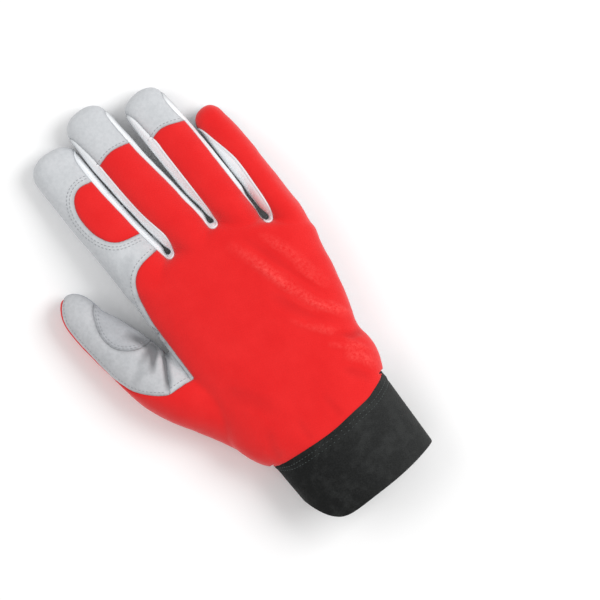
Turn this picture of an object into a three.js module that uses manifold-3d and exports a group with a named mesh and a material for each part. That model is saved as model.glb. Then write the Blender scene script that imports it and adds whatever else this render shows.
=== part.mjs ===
// A right-hand mechanic glove, filled as by a hand and lying on its palm.
// +Z is up, +Y runs from the cuff to the fingertips, and the thumb is on the -X side.
// The glove is one hollow form, and every panel is a piece of its wall between the seams.

import * as THREE from "three";
import { mergeVertices } from "three/addons/utils/BufferGeometryUtils.js";
import Module from "manifold-3d";

const wasm = await Module();
wasm.setup();

// Driving sizes, in millimetres
const wall = 1.8; // leather and stretch cloth
const seamGap = 0.3; // between two panels that are sewn together
const palmLength = 126; // wrist seam to the web beside the index finger
const knuckleHeight = 34;
const wristWidth = 76;
const wristHeight = 37;
const flattening = 1.5; // how far the round form would reach below the floor
const fingerGap = 1; // at the webs
const cuffLength = 43;
const cuffWall = 2.4;
const cuffTaper = 0.02; // how much narrower the cuff is on each side at its hem, as a share of its width
const strapPanelDepth = 2.1;
const strapBindingDepth = 3;
const strapBindingWidth = 5;
const strapReach = 58; // from the edge of the wrist on the little finger's side
const strapMargin = 1.5; // between the strap and each edge of the cuff
const strapEndRadius = 18;
const tipOverlap = 6; // how far a fingertip cap wraps under the tip
const webDrop = 3; // how far the side walls reach into the palm at a web
const margin = 1; // how far a cutter reaches past the form

// Each finger: width at its web, length from its web, thickness of the fingertip, how far its web is set back, and
// height at the web as a share of the knuckle height. Its plan runs from inside the palm to where the tip starts to
// round: along is a share of its length, and centre and width are shares of its width.
const fingers = {
  index: {
    width: 31.9, length: 83.5, thickness: 19, setback: 0, rootHeight: 0.96,
    plan: [
      { along: -0.3, centre: 0, width: 0.62 },
      { along: -0.1, centre: 0, width: 0.97 },
      { along: 0.02, centre: 0, width: 1 },
      { along: 0.1, centre: -0.014, width: 0.972 },
      { along: 0.3, centre: -0.053, width: 0.915 },
      { along: 0.5, centre: -0.086, width: 0.89 },
      { along: 0.7, centre: -0.108, width: 0.872 },
      { along: 0.86, centre: -0.114, width: 0.871 },
    ],
  },
  middle: {
    width: 27.2, length: 91, thickness: 19.5, setback: 0, rootHeight: 0.99,
    plan: [
      { along: -0.3, centre: 0, width: 0.62 },
      { along: -0.1, centre: 0, width: 0.93 },
      { along: 0.02, centre: 0.004, width: 0.993 },
      { along: 0.1, centre: -0.015, width: 0.978 },
      { along: 0.2, centre: -0.066, width: 0.993 },
      { along: 0.33, centre: -0.108, width: 0.985 },
      { along: 0.5, centre: -0.165, width: 0.96 },
      { along: 0.69, centre: -0.202, width: 0.96 },
      { along: 0.86, centre: -0.22, width: 0.935 },
    ],
  },
  ring: {
    width: 24.3, length: 81, thickness: 19, setback: 1.5, rootHeight: 0.96,
    plan: [
      { along: -0.3, centre: 0, width: 0.62 },
      { along: -0.1, centre: 0, width: 0.93 },
      { along: 0.05, centre: 0.004, width: 0.967 },
      { along: 0.15, centre: -0.008, width: 0.986 },
      { along: 0.26, centre: -0.04, width: 1.035 },
      { along: 0.45, centre: -0.051, width: 1.028 },
      { along: 0.7, centre: -0.072, width: 1.02 },
      { along: 0.86, centre: -0.098, width: 0.985 },
    ],
  },
  little: {
    width: 18.2, length: 68.5, thickness: 16.5, setback: 17, rootHeight: 0.87,
    plan: [
      { along: -0.3, centre: -0.05, width: 0.62 },
      { along: -0.1, centre: -0.02, width: 0.93 },
      { along: 0.03, centre: 0, width: 0.99 },
      { along: 0.16, centre: -0.006, width: 1.022 },
      { along: 0.4, centre: -0.008, width: 1.035 },
      { along: 0.6, centre: -0.008, width: 1.035 },
      { along: 0.75, centre: -0.022, width: 1.005 },
      { along: 0.87, centre: -0.066, width: 0.93 },
    ],
  },
};
const thumb = { width: 29, length: 130, thickness: 21, rootHeight: 0.88, setback: 113 };

const order = [fingers.index, fingers.middle, fingers.ring, fingers.little];
const palmWidth = order.reduce((sum, f) => sum + f.width, 0) + fingerGap * (order.length - 1);
const palmLeftShare = 0.4436; // of the palm's width that lies on the thumb's side of the middle line
const wristLeftShare = 0.52;
const strapStack = strapBindingDepth + seamGap; // the cuff is held this far above the floor
const wristSeamY = cuffLength;
const webY = wristSeamY + palmLength;
let edge = -palmLeftShare * palmWidth;
for (const f of order) {
  f.centre = edge + f.width / 2;
  f.rootY = webY - f.setback;
  edge += f.width + fingerGap;
}
thumb.rootY = webY - thumb.setback;

// The palm from the wrist seam (0) to the web (1). palm is how far the wrist's sizes have turned into the palm's;
// left and right are shares of the palm's width, top is one of the knuckle height.
const palmRows = [
  { along: 0, palm: 0, left: 0.495, right: 0.394, top: 1.14, round: 2.2 },
  { along: 0.055, palm: 0.4, left: 0.495, right: 0.394, top: 1.14, round: 2.3 },
  { along: 0.11, palm: 0.7, left: 0.495, right: 0.4145, top: 1.13, round: 2.4 },
  { along: 0.19, palm: 1, left: 0.485, right: 0.4115, top: 1.12, round: 2.5 },
  { along: 0.27, palm: 1, left: 0.48, right: 0.403, top: 1.1, round: 2.6 },
  { along: 0.35, palm: 1, left: 0.475, right: 0.432, top: 1.09, round: 2.7 },
  { along: 0.425, palm: 1, left: 0.4705, right: 0.458, top: 1.07, round: 2.7 },
  { along: 0.49, palm: 1, left: 0.4655, right: 0.477, top: 1.06, round: 2.7 },
  { along: 0.55, palm: 1, left: 0.461, right: 0.49, top: 1.05, round: 2.7 },
  { along: 0.61, palm: 1, left: 0.454, right: 0.501, top: 1.04, round: 2.7 },
  { along: 0.68, palm: 1, left: 0.447, right: 0.517, top: 1.03, round: 2.7 },
  { along: 0.75, palm: 1, left: 0.4436, right: 0.526, top: 1.01, round: 2.8 },
  { along: 0.84, palm: 1, left: 0.4436, right: 0.533, top: 1, round: 2.9 },
  { along: 0.9, palm: 1, left: 0.441, right: 0.532, top: 0.98, round: 3 },
];
const palmStations = [-0.04, 0.02, 0.1, 0.17, 0.24, 0.31, 0.38, 0.44, 0.5, 0.56, 0.62, 0.68, 0.75, 0.82, 0.9];

// The side view of every finger. rise is a share of what it is higher at the web than at the tip, and lift one of
// its thickness: the finger arches over the floor between its root and its tip.
const fingerRows = [
  { along: -0.3, rise: 0.4, lift: 0.3 },
  { along: -0.1, rise: 0.93, lift: 0.08 },
  { along: 0.03, rise: 1, lift: 0.02 },
  { along: 0.2, rise: 0.9, lift: 0.1 },
  { along: 0.4, rise: 0.66, lift: 0.13 },
  { along: 0.6, rise: 0.36, lift: 0.08 },
  { along: 0.76, rise: 0.14, lift: 0.02 },
  { along: 0.86, rise: 0.03, lift: 0 },
];
const fingerStations = [-0.3, -0.1, 0.02, 0.1, 0.2, 0.33, 0.47, 0.6, 0.73, 0.83];

// The thumb from inside the palm to where its tip starts to round. centre is a share of the palm's width on the
// thumb's side of the middle line, width one of the thumb's width, top one of its height at the palm, and lift one of
// its thickness.
const thumbRows = [
  { along: 0, centre: 0.25, width: 1.4, top: 0.8, lift: 0.3 },
  { along: 0.08, centre: 0.288, width: 1.48, top: 0.9, lift: 0.15 },
  { along: 0.16, centre: 0.336, width: 1.5, top: 0.97, lift: 0.05 },
  { along: 0.23, centre: 0.394, width: 1.44, top: 1, lift: 0 },
  { along: 0.31, centre: 0.4655, width: 1.36, top: 1, lift: 0 },
  { along: 0.41, centre: 0.546, width: 1.18, top: 0.97, lift: 0 },
  { along: 0.48, centre: 0.584, width: 1.07, top: 0.94, lift: 0.03 },
  { along: 0.56, centre: 0.605, width: 1.035, top: 0.91, lift: 0.06 },
  { along: 0.64, centre: 0.621, width: 1.02, top: 0.88, lift: 0.07 },
  { along: 0.71, centre: 0.641, width: 0.965, top: 0.84, lift: 0.06 },
  { along: 0.79, centre: 0.6664, width: 0.875, top: 0.78, lift: 0.03 },
  { along: 0.86, centre: 0.691, width: 0.74, top: 0.72, lift: 0 },
];

// Folds pressed into the wall, in palm coordinates: a fold runs from (x0, y0) to (x1, y1), and x and y are shares
// of the palm's width and length from the middle of the wrist seam. depth is a share of the wall, width one of the
// palm's width, and the depth fades from the first end to the second.
const palmFolds = [
  { x0: 0.26, y0: 0, x1: 0.3, y1: 0.08, width: 0.026, depth: 0.9 },
  { x0: 0.17, y0: 0, x1: 0.22, y1: 0.11, width: 0.026, depth: 1.1 },
  { x0: 0.08, y0: 0, x1: 0.13, y1: 0.17, width: 0.026, depth: 1.2 },
  { x0: 0.02, y0: 0, x1: 0.02, y1: 0.13, width: 0.026, depth: 1.2 },
  { x0: -0.04, y0: 0, x1: -0.09, y1: 0.15, width: 0.026, depth: 1.1 },
  { x0: -0.11, y0: 0, x1: -0.2, y1: 0.16, width: 0.026, depth: 1.1 },
  { x0: -0.18, y0: 0.02, x1: -0.3, y1: 0.18, width: 0.026, depth: 0.9 },
  { x0: -0.4, y0: 0.6, x1: -0.46, y1: 0.44, width: 0.03, depth: 1.4 },
  { x0: -0.46, y0: 0.58, x1: -0.54, y1: 0.38, width: 0.03, depth: 1.2 },
  { x0: -0.39, y0: 0.65, x1: -0.08, y1: 0.56, width: 0.03, depth: 0.8 },
  { x0: -0.39, y0: 0.67, x1: -0.14, y1: 0.88, width: 0.03, depth: 0.9 },
];
const backFolds = [
  { x0: 0.42, y0: 0.2, x1: 0.2, y1: 0.56, width: 0.045, depth: 0.7 },
  { x0: 0.44, y0: 0.27, x1: 0.3, y1: 0.62, width: 0.035, depth: 0.5 },
];

// The value of a table's column at a place along it, on a smooth curve through the rows.
function read(rows, column, along) {
  const last = rows.length - 1;
  let i = 0;
  while (i < last - 1 && along > rows[i + 1].along) i += 1;
  const [p0, p1, p2, p3] = [rows[Math.max(i - 1, 0)], rows[i], rows[i + 1], rows[Math.min(i + 2, last)]];
  const span = p2.along - p1.along;
  const t = THREE.MathUtils.clamp((along - p1.along) / span, 0, 1);
  const slope = (a, b) => (b.along > a.along ? ((b[column] - a[column]) / (b.along - a.along)) * span : 0);
  const [m1, m2] = [slope(p0, p2), slope(p1, p3)];
  const [t2, t3] = [t * t, t * t * t];
  return (2 * t3 - 3 * t2 + 1) * p1[column] + (t3 - 2 * t2 + t) * m1
    + (3 * t2 - 2 * t3) * p2[column] + (t3 - t2) * m2;
}

// A section of the palm: its sides, top and bottom at a share of the palm's length.
function palmSection(along) {
  const palm = read(palmRows, "palm", along);
  const mixed = (wristSize, palmSize) => wristSize + (palmSize - wristSize) * palm;
  return {
    y: wristSeamY + along * palmLength,
    left: -mixed(wristLeftShare * wristWidth, read(palmRows, "left", along) * palmWidth),
    right: mixed((1 - wristLeftShare) * wristWidth, read(palmRows, "right", along) * palmWidth),
    top: mixed(strapStack + wristHeight, read(palmRows, "top", along) * knuckleHeight),
    bottom: mixed(strapStack, -flattening),
    floor: mixed(strapStack, 0),
    round: read(palmRows, "round", along),
  };
}

function fingerSection(f, along) {
  const centre = f.centre + read(f.plan, "centre", along) * f.width;
  const half = (read(f.plan, "width", along) * f.width) / 2;
  const rise = read(fingerRows, "rise", along);
  return {
    y: f.rootY + along * f.length,
    left: centre - half,
    right: centre + half,
    top: f.thickness + (f.rootHeight * knuckleHeight - f.thickness) * rise,
    bottom: read(fingerRows, "lift", along) * f.thickness - flattening,
    floor: 0,
    round: 2.3,
  };
}

function thumbSection(along) {
  const row = (column) => read(thumbRows, column, along);
  const half = (row("width") * thumb.width) / 2;
  const centre = -row("centre") * palmWidth;
  return {
    y: thumb.rootY + along * thumb.length,
    left: centre - half,
    right: centre + half,
    top: row("top") * thumb.rootHeight * knuckleHeight,
    bottom: row("lift") * thumb.thickness - flattening,
    floor: 0,
    round: 2.3,
  };
}

// The points of a section, inset by the wall for the hollow's surface or outset by a negative one.
function ringOf(section, sides, inset) {
  const { left, right, top, bottom, round } = section;
  const [cx, cz] = [(left + right) / 2, (top + bottom) / 2];
  const [hx, hz] = [(right - left) / 2 - inset, (top - bottom) / 2 - inset];
  const power = 2 / round;
  return Array.from({ length: sides }, (_, k) => {
    const angle = (2 * Math.PI * k) / sides;
    const [c, s] = [Math.cos(angle), Math.sin(angle)];
    const x = cx + hx * Math.sign(c) * Math.abs(c) ** power;
    const z = cz + hz * Math.sign(s) * Math.abs(s) ** power;
    return [x, section.y, Math.max(z, section.floor + inset)];
  });
}

// Sections that close a form as a rounded end of a length, from its last full section.
const endAngles = [24, 46, 64, 78];
function endRings(section, length, sides, inset, power) {
  const full = ringOf(section, sides, inset);
  const [cx, cz] = [(section.left + section.right) / 2, (section.top + Math.max(section.bottom, 0)) / 2];
  return stationsAt(endAngles, inset).map((degrees) => {
    const angle = THREE.MathUtils.degToRad(degrees);
    const [shrink, reach] = [Math.cos(angle) ** power, Math.sin(angle) ** power * (length - inset)];
    return full.map(([x, y, z]) => [cx + (x - cx) * shrink, y + reach, cz + (z - cz) * shrink]);
  });
}

// A closed manifold solid through rings that have the same number of points, with a flat fan at both ends.
function loft(rings) {
  const sides = rings[0].length;
  const points = rings.flat();
  const faces = [];
  for (let r = 0; r < rings.length - 1; r += 1) {
    for (let k = 0; k < sides; k += 1) {
      const [a, b] = [r * sides + k, r * sides + ((k + 1) % sides)];
      faces.push([a, b, b + sides], [a, b + sides, a + sides]);
    }
  }
  for (const [start, turn] of [[0, 1], [(rings.length - 1) * sides, -1]]) {
    const ring = points.slice(start, start + sides);
    const middle = [0, 1, 2].map((axis) => ring.reduce((sum, p) => sum + p[axis], 0) / sides);
    points.push(middle);
    const centre = points.length - 1;
    for (let k = 0; k < sides; k += 1) {
      const [a, b] = [start + k, start + ((k + 1) % sides)];
      faces.push(turn > 0 ? [centre, b, a] : [centre, a, b]);
    }
  }
  const geometry = new THREE.BufferGeometry();
  geometry.setAttribute("position", new THREE.Float32BufferAttribute(points.flat(), 3));
  geometry.setIndex(faces.flat());
  return solidOf(geometry);
}

// A closed three.js geometry as a solid that can be cut, with its faces turned outwards.
function solidOf(geometry) {
  const bare = geometry.clone();
  bare.deleteAttribute("normal");
  bare.deleteAttribute("uv");
  const merged = mergeVertices(bare, 1e-4);
  const corners = merged.attributes.position.array;
  const triVerts = new Uint32Array(merged.index.array);
  let volume = 0;
  for (let i = 0; i < triVerts.length; i += 3) {
    const [a, b, c] = [0, 1, 2].map((k) => new THREE.Vector3().fromArray(corners, triVerts[i + k] * 3));
    volume += a.dot(b.cross(c));
  }
  if (volume < 0) triVerts.reverse();
  return new wasm.Manifold(new wasm.Mesh({ numProp: 3, vertProperties: corners, triVerts }));
}

// How far the front of the palm is set back beside each finger, at a place across the palm.
function setbackAt(x) {
  const webs = order.slice(1).map((f, i) => ({ along: f.centre - f.width / 2, back: (f.setback + order[i].setback) / 2 }));
  webs[2].back = fingers.little.setback;
  const rows = [{ along: fingers.index.centre, back: 0 }, ...webs, { along: edge, back: fingers.little.setback * 1.5 }];
  return read(rows, "back", THREE.MathUtils.clamp(x, rows[0].along, edge));
}

// How deep the folds press in at a place of the palm, in millimetres. Past its edge a fold leaves the form untouched.
const foldEdge = 0.03;
function foldDepth(folds, x, y) {
  let depth = 0;
  for (const fold of folds) {
    const from = new THREE.Vector2(fold.x0 * palmWidth, wristSeamY + fold.y0 * palmLength);
    const way = new THREE.Vector2(fold.x1 * palmWidth, wristSeamY + fold.y1 * palmLength).sub(from);
    const at = new THREE.Vector2(x, y).sub(from);
    const share = THREE.MathUtils.clamp(at.dot(way) / way.lengthSq(), 0, 1);
    const away = at.sub(way.multiplyScalar(share)).length() / (fold.width * palmWidth);
    depth += fold.depth * wall * (1 - 0.7 * share) * Math.max(0, Math.exp(-away * away) - foldEdge);
  }
  return depth;
}

const palmSides = { outer: 34, inner: 20 };
const fingerSides = { outer: 14, inner: 10 };
const sidesAt = (sides, inset) => (inset > 0 ? sides.inner : sides.outer);

// The hollow's surface needs only every other section.
function stationsAt(stations, inset) {
  return stations.filter((_, i) => !(inset > 0) || (stations.length - 1 - i) % 2 === 0);
}

// The palm, solid to its outer surface (inset 0) or to the hollow (inset wall), with its set-back front and folds.
function palmForm(inset) {
  const sections = stationsAt(palmStations, inset).map(palmSection);
  const rings = sections.map((section) => ringOf(section, sidesAt(palmSides, inset), inset));
  const last = sections.at(-1);
  rings.push(...endRings(last, webY - last.y, sidesAt(palmSides, inset), inset, 0.7));
  if (inset > 0) rings.unshift(rings[0].map(([x, y, z]) => [x, y - wall, z]));
  const middle = (section) => (section.top + section.bottom) / 2;
  return loft(rings.map((ring, r) => {
    const centre = middle(sections[THREE.MathUtils.clamp(r - (inset > 0 ? 1 : 0), 0, sections.length - 1)]);
    return ring.map(([x, y, z]) => {
      const front = THREE.MathUtils.smoothstep(y, wristSeamY + palmLength * 0.6, webY);
      const pressed = z < centre ? foldDepth(palmFolds, x, y) : -foldDepth(backFolds, x, y);
      const facing = THREE.MathUtils.smoothstep(Math.abs(z - centre), 0.15 * knuckleHeight, 0.4 * knuckleHeight);
      return [x, y - setbackAt(x) * front, z + pressed * facing];
    });
  }));
}

function fingerForm(f, inset) {
  const sections = stationsAt(fingerStations, inset).map((along) => fingerSection(f, along));
  const last = sections.at(-1);
  const rings = sections.map((section) => ringOf(section, sidesAt(fingerSides, inset), inset));
  return loft([...rings, ...endRings(last, f.rootY + f.length - last.y, sidesAt(fingerSides, inset), inset, 0.85)]);
}

function thumbForm(inset) {
  const sections = thumbRows.map((row) => thumbSection(row.along));
  const last = sections.at(-1);
  const rings = sections.map((section) => ringOf(section, sidesAt(fingerSides, inset), inset));
  return loft([...rings, ...endRings(last, thumb.rootY + thumb.length - last.y, sidesAt(fingerSides, inset), inset, 1)]);
}

function gloveForm(inset) {
  return [...order.map((f) => fingerForm(f, inset)), thumbForm(inset)].reduce((whole, p) => whole.add(p), palmForm(inset));
}

// A point of the plan at shares across and along a section's part: 0 is its left edge and its root.
const onPart = (sectionAt) => (across, along) => {
  const { left, right, y } = sectionAt(along);
  return [left + (right - left) * across, y];
};
const onPalm = onPart(palmSection);
const onThumb = onPart(thumbSection);
const onIndex = onPart((along) => fingerSection(fingers.index, along));

// The outline moved outwards by a distance, or inwards by a negative one.
function grownOutline(outline, grow) {
  const area = THREE.ShapeUtils.area(outline.map(([x, y]) => new THREE.Vector2(x, y)));
  return outline.map((point, i) => {
    const [before, here, after] = [outline.at(i - 1), point, outline[(i + 1) % outline.length]]
      .map(([x, y]) => new THREE.Vector2(x, y));
    const [into, out] = [here.clone().sub(before).normalize(), after.sub(here).normalize()];
    const normal = new THREE.Vector2(into.y + out.y, -into.x - out.x).normalize();
    const square = Math.max(0.5, normal.dot(new THREE.Vector2(out.y, -out.x)));
    return here.addScaledVector(normal, (Math.sign(area) * grow) / square).toArray();
  });
}

// A closed solid between two rings over each other, for cutting.
function cutBetween(lowRing, highRing) {
  const sides = lowRing.length;
  if (THREE.ShapeUtils.area(lowRing.map(([x, y]) => new THREE.Vector2(x, y))) < 0) {
    lowRing.reverse();
    highRing.reverse();
  }
  const fill = (ring) => THREE.ShapeUtils.triangulateShape(ring.map(([x, y]) => new THREE.Vector2(x, y)), []);
  const faces = [...fill(lowRing).map(([a, b, c]) => [c, b, a]), ...fill(highRing).map((f) => f.map((i) => i + sides))];
  for (let k = 0; k < sides; k += 1) {
    const next = (k + 1) % sides;
    faces.push([k, next, next + sides], [k, next + sides, k + sides]);
  }
  const geometry = new THREE.BufferGeometry();
  geometry.setAttribute("position", new THREE.Float32BufferAttribute([...lowRing, ...highRing].flat(), 3));
  geometry.setIndex(faces.flat());
  return solidOf(geometry);
}

// An upright prism on a plan outline, between two heights.
function prism(outline, low, high, grow = 0) {
  const grown = grownOutline(outline, grow);
  return cutBetween(grown.map(([x, y]) => [x, y, low]), grown.map(([x, y]) => [x, y, high]));
}

const above = 2 * knuckleHeight;
const below = -knuckleHeight / 2;

// The height of a section at a share of it, counted from where it rests.
const heightAt = (section, share) => Math.max(section.bottom, 0) + share * (section.top - Math.max(section.bottom, 0));

// A point outside a section, straight out from its middle through the surface at a share of its height.
function outPast(section, side, share, past) {
  const { left, right, top, bottom, round } = section;
  const [cx, cz] = [(left + right) / 2, (top + bottom) / 2];
  const rise = (heightAt(section, share) - cz) / ((top - bottom) / 2);
  const reach = (1 - Math.abs(rise) ** round) ** (1 / round);
  const x = (side === "left" ? left : right) + (side === "left" ? -past : past);
  return [x, section.y, cz + (rise * (top - bottom)) / 2 / reach * Math.abs(x - cx) / ((right - left) / 2)];
}

// The side of a tube, from its middle outwards and from a seam on its upper half down to the floor.
function sideWedge(sections, side, shareAt, past, grow) {
  return loft(sections.map((section, i) => {
    const [x, y, z] = outPast(section, side, shareAt(i), past);
    const centre = (section.left + section.right) / 2;
    const ring = [[centre, y, below], [centre, y, (section.top + section.bottom) / 2 + grow], [x, y, z + grow], [x, y, below]];
    return side === "left" ? ring : ring.reverse();
  }));
}

// The seams under the back of each finger, as shares of its height: on its left side, which shows from above, and on
// the right side of them all.
const sideSeams = [
  { along: 0, middle: 0.84, ring: 0.78, little: 0.9, right: 0.7 },
  { along: 0.14, middle: 0.86, ring: 0.83, little: 0.95, right: 0.7 },
  { along: 0.33, middle: 0.865, ring: 0.89, little: 0.965, right: 0.7 },
  { along: 0.5, middle: 0.865, ring: 0.895, little: 0.965, right: 0.7 },
  { along: 0.68, middle: 0.865, ring: 0.9, little: 0.92, right: 0.7 },
  { along: 0.86, middle: 0.8, ring: 0.84, little: 0.8, right: 0.7 },
];
const sideStations = [0.05, 0.12, 0.2, 0.33, 0.47, 0.6, 0.73, 0.83];
const tipEnd = (f) => f.rootY + f.length - tipOverlap;

// The side walls between two neighbouring fingers, joined round the web.
function fourchetteCutter(a, b, grow) {
  const [left, right] = [fingers[a], fingers[b]];
  const webAt = webY - Math.max(left.setback, right.setback);
  const wedge = (f, side) => {
    const stations = [(webAt - margin - grow - f.rootY) / f.length, ...sideStations];
    const sections = stations.map((along) => fingerSection(f, Math.max(along, 0.02)));
    sections[0].y = webAt - margin - grow;
    sections.push({ ...sections.at(-1), y: tipEnd(f) + grow });
    const seam = side === "left" ? b : "right";
    const seamAt = (i) => read(sideSeams, seam, THREE.MathUtils.clamp(stations[i] ?? 1, 0, 0.86));
    return sideWedge(sections, side, seamAt, 0.45 * fingerGap, grow);
  };
  const slot = right.centre - right.width / 2 - fingerGap / 2;
  const reach = 0.11 * left.width + grow;
  const web = prism([[slot - reach, webAt + 5 * margin], [slot - reach, webAt - 0.5 * margin - grow],
    [slot - reach * 0.4, webAt - webDrop - grow], [slot + reach * 0.4, webAt - webDrop - grow],
    [slot + reach, webAt - 0.5 * margin - grow], [slot + reach, webAt + 5 * margin]],
  below, above);
  return wedge(left, "right").add(wedge(right, "left")).add(web);
}

// The cloth's strip that wraps under the outer edge of the thumb and the wrist, seen in plan.
function wrapOutline() {
  const seam = [[0.21, 0], [0.17, 0.09], [0.13, 0.17], [0.09, 0.25], [0.085, 0.32], [0.08, 0.4]]
    .map(([across, along]) => onPalm(across, along));
  const onward = [0.41, 0.48, 0.56, 0.64, 0.71, 0.79, 0.86].map((along) => onThumb(0.17, along));
  const [tipX, tipY] = onThumb(0.3, 1);
  const far = tipX - 2 * thumb.width;
  return [[seam[0][0], 0], ...seam, ...onward, [tipX, tipY + margin], [far, tipY + margin], [far, 0]];
}

// The upper edge of the palm leather, as shares of the knuckle height on the thumb's side and on the other side.
const palmSeamRows = [
  { along: -0.02, left: 0.44, right: 0.42 },
  { along: 0.1, left: 0.44, right: 0.38 },
  { along: 0.3, left: 0.42, right: 0.3 },
  { along: 0.6, left: 0.41, right: 0.26 },
  { along: 0.9, left: 0.39, right: 0.23 },
  { along: 1.15, left: 0.36, right: 0.2 },
  { along: 1.4, left: 0.3, right: 0.2 },
  { along: 1.8, left: 0.26, right: 0.2 },
];

// The palm leather: everything under its side seams, apart from the wrapped strip and the capped fingertips.
function palmCutter(grow) {
  const reach = palmWidth;
  let whole = loft(palmSeamRows.map(({ along, left, right }) => {
    const y = wristSeamY + along * palmLength;
    return [[-reach, y, below], [reach, y, below], [reach, y, right * knuckleHeight + grow],
      [-reach, y, left * knuckleHeight + grow]];
  }));
  whole = whole.subtract(prism(wrapOutline(), below - margin, knuckleHeight * 0.7, -grow));
  for (const f of [fingers.middle, fingers.ring]) {
    const [left, right, y] = [f.centre - 0.75 * f.width, f.centre + 0.6 * f.width, tipEnd(f) + grow];
    whole = whole.subtract(prism([[left, y], [right, y], [right, y + f.width], [left, y + f.width]], below - margin, above));
  }
  return whole;
}

// A fingertip cap: the back of the finger past its seam, and all round the tip.
function capCutter(f, seamAlong, grow) {
  const section = fingerSection(f, seamAlong);
  const [left, right, middle] = [section.left - margin, section.right + margin, (section.left + section.right) / 2];
  const sag = f.width * 0.07;
  const outline = [[left, section.y - sag - grow], [middle, section.y - grow], [right, section.y - sag - grow],
    [right, f.rootY + f.length + 2 * margin], [left, f.rootY + f.length + 2 * margin]];
  return prism(outline, below, above);
}

// The half-moon set into the back of the index finger, against its seam with the side wall.
const indexInsertRows = [[1.2, 0.67], [0.847, 0.68], [0.609, 0.695], [0.426, 0.675], [0.304, 0.62], [0.234, 0.53],
  [0.241, 0.43], [0.319, 0.34], [0.467, 0.275], [0.641, 0.245], [0.817, 0.235], [1.2, 0.235]];
const insertOutline = () => indexInsertRows.map(([across, along]) => onIndex(across, along));

// The leather of the index finger: its back, and the edge of the hand down to the thumb. Across is a share of the
// palm's width, along one of its length, and the cut leans into the hand where the seam is on the hand's edge.
const indexBorder = [
  { across: 0.28, along: 1.035, lean: 0 },
  { across: 0.173, along: 1.03, lean: 0 },
  { across: 0.1045, along: 1.0, lean: 0.2 },
  { across: 0.0555, along: 0.955, lean: 0.5 },
  { across: 0.0345, along: 0.9, lean: 0.8 },
  { across: 0.024, along: 0.84, lean: 1 },
  { across: 0.0182, along: 0.77, lean: 1 },
  { across: 0.0143, along: 0.703, lean: 1 },
];

function indexCutter(grow) {
  const f = fingers.index;
  const far = -palmLeftShare * palmWidth - 2.5 * fingerGap;
  const end = f.rootY + f.length + 2 * margin;
  const border = indexBorder.map(({ across, along, lean }) => (
    [(-palmLeftShare + across) * palmWidth, wristSeamY + along * palmLength, lean]));
  const seamHeight = 0.78 * knuckleHeight;
  const foot = border.at(-1)[1];
  const outline = [[f.centre + f.width / 2 + fingerGap / 2, f.rootY + 2 * margin, 0], ...border, [far, foot, 0],
    [far, f.rootY, 0], [far - f.width / 5, end, 0], [f.centre + 0.4 * f.width, end, 0]];
  const grown = grownOutline(outline, grow);
  const ringAt = (z) => grown.map(([x, y], i) => {
    const clear = outline[i][0] === far ? Math.min(0, seamHeight - z) : 0;
    return [x + outline[i][2] * (seamHeight - z) + clear, y, z];
  });
  return cutBetween(ringAt(0), ringAt(knuckleHeight + 2 * margin));
}

// The leather on the back of the thumb, inside the strip of cloth along its outer edge.
function thumbCutter(grow) {
  const outer = [[0.56, 0.405], [0.42, 0.42], [0.29, 0.45], [0.185, 0.5], [0.095, 0.57]]
    .map(([across, along]) => onThumb(across, along));
  const inner = [[1.05, 0.6], [0.94, 0.55], [0.8, 0.47]].map(([across, along]) => onThumb(across, along));
  const [farX, farY] = [thumbSection(0.86).left - 4 * margin, outer.at(-1)[1] + 6 * margin];
  const tipY = thumb.rootY + thumb.length + 2 * margin;
  const outline = [...outer, [farX, farY], [farX, tipY], [onThumb(1.25, 1)[0], tipY], ...inner];
  const sections = [0.38, 0.48, 0.56, 0.64, 0.71, 0.79, 0.86].map(thumbSection);
  sections.push({ ...sections.at(-1), y: tipY + margin });
  const strip = sideWedge(sections, "left", (i) => (i > 2 ? 0.72 : 0.8), 5 * margin, -grow);
  return prism(outline, 0, above, grow).subtract(strip);
}

// The half-moon set into the thumb's leather, against the edge that faces the index finger.
const thumbInsertRows = [[1.1, 0.895], [0.92, 0.9], [0.72, 0.88], [0.52, 0.82], [0.42, 0.75], [0.44, 0.69],
  [0.58, 0.65], [0.8, 0.635], [1.06, 0.635]];
const thumbInsertOutline = () => thumbInsertRows.map(([across, along]) => onThumb(across, along));

// The gusset between the thumb and the edge of the hand.
function gussetOutline() {
  const corner = [(-palmLeftShare + 0.0242) * palmWidth, wristSeamY + 0.53 * palmLength];
  const top = [(-palmLeftShare + 0.0143) * palmWidth, wristSeamY + 0.71 * palmLength];
  const inner = [[1.05, 0.6], [0.94, 0.55], [0.8, 0.47], [0.56, 0.405]].map(([a, b]) => onThumb(a, b));
  return [corner, top, [inner[0][0] + margin, top[1]], ...inner];
}

// The cuff's seam with the glove and its hem, in plan: across is a share of the wrist's width from its middle line,
// and rise one of the cuff's length.
const wristSeamRows = [
  { across: -0.7, rise: 1 },
  { across: -0.51, rise: 1 },
  { across: -0.4, rise: 0.975 },
  { across: -0.13, rise: 0.955 },
  { across: 0.1, rise: 0.96 },
  { across: 0.3, rise: 0.985 },
  { across: 0.42, rise: 1.02 },
  { across: 0.49, rise: 1.09 },
  { across: 0.7, rise: 1.09 },
];
const hemRows = [
  { across: -0.7, rise: 0.4 },
  { across: -0.51, rise: 0.4 },
  { across: -0.49, rise: 0.24 },
  { across: -0.43, rise: 0.12 },
  { across: -0.34, rise: 0.05 },
  { across: -0.2, rise: 0.01 },
  { across: 0, rise: 0 },
  { across: 0.27, rise: 0.02 },
  { across: 0.44, rise: 0.06 },
  { across: 0.7, rise: 0.2 },
];
const planLine = (rows, shift) => rows.map(({ across, rise }) => [across * wristWidth, rise * cuffLength + shift]);
const pastWrist = (shift) => [...planLine(wristSeamRows, shift), [3 * palmWidth, 1.09 * cuffLength + shift],
  [3 * palmWidth, 3 * palmLength], [-3 * palmWidth, 3 * palmLength], [-3 * palmWidth, cuffLength + shift]];

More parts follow.
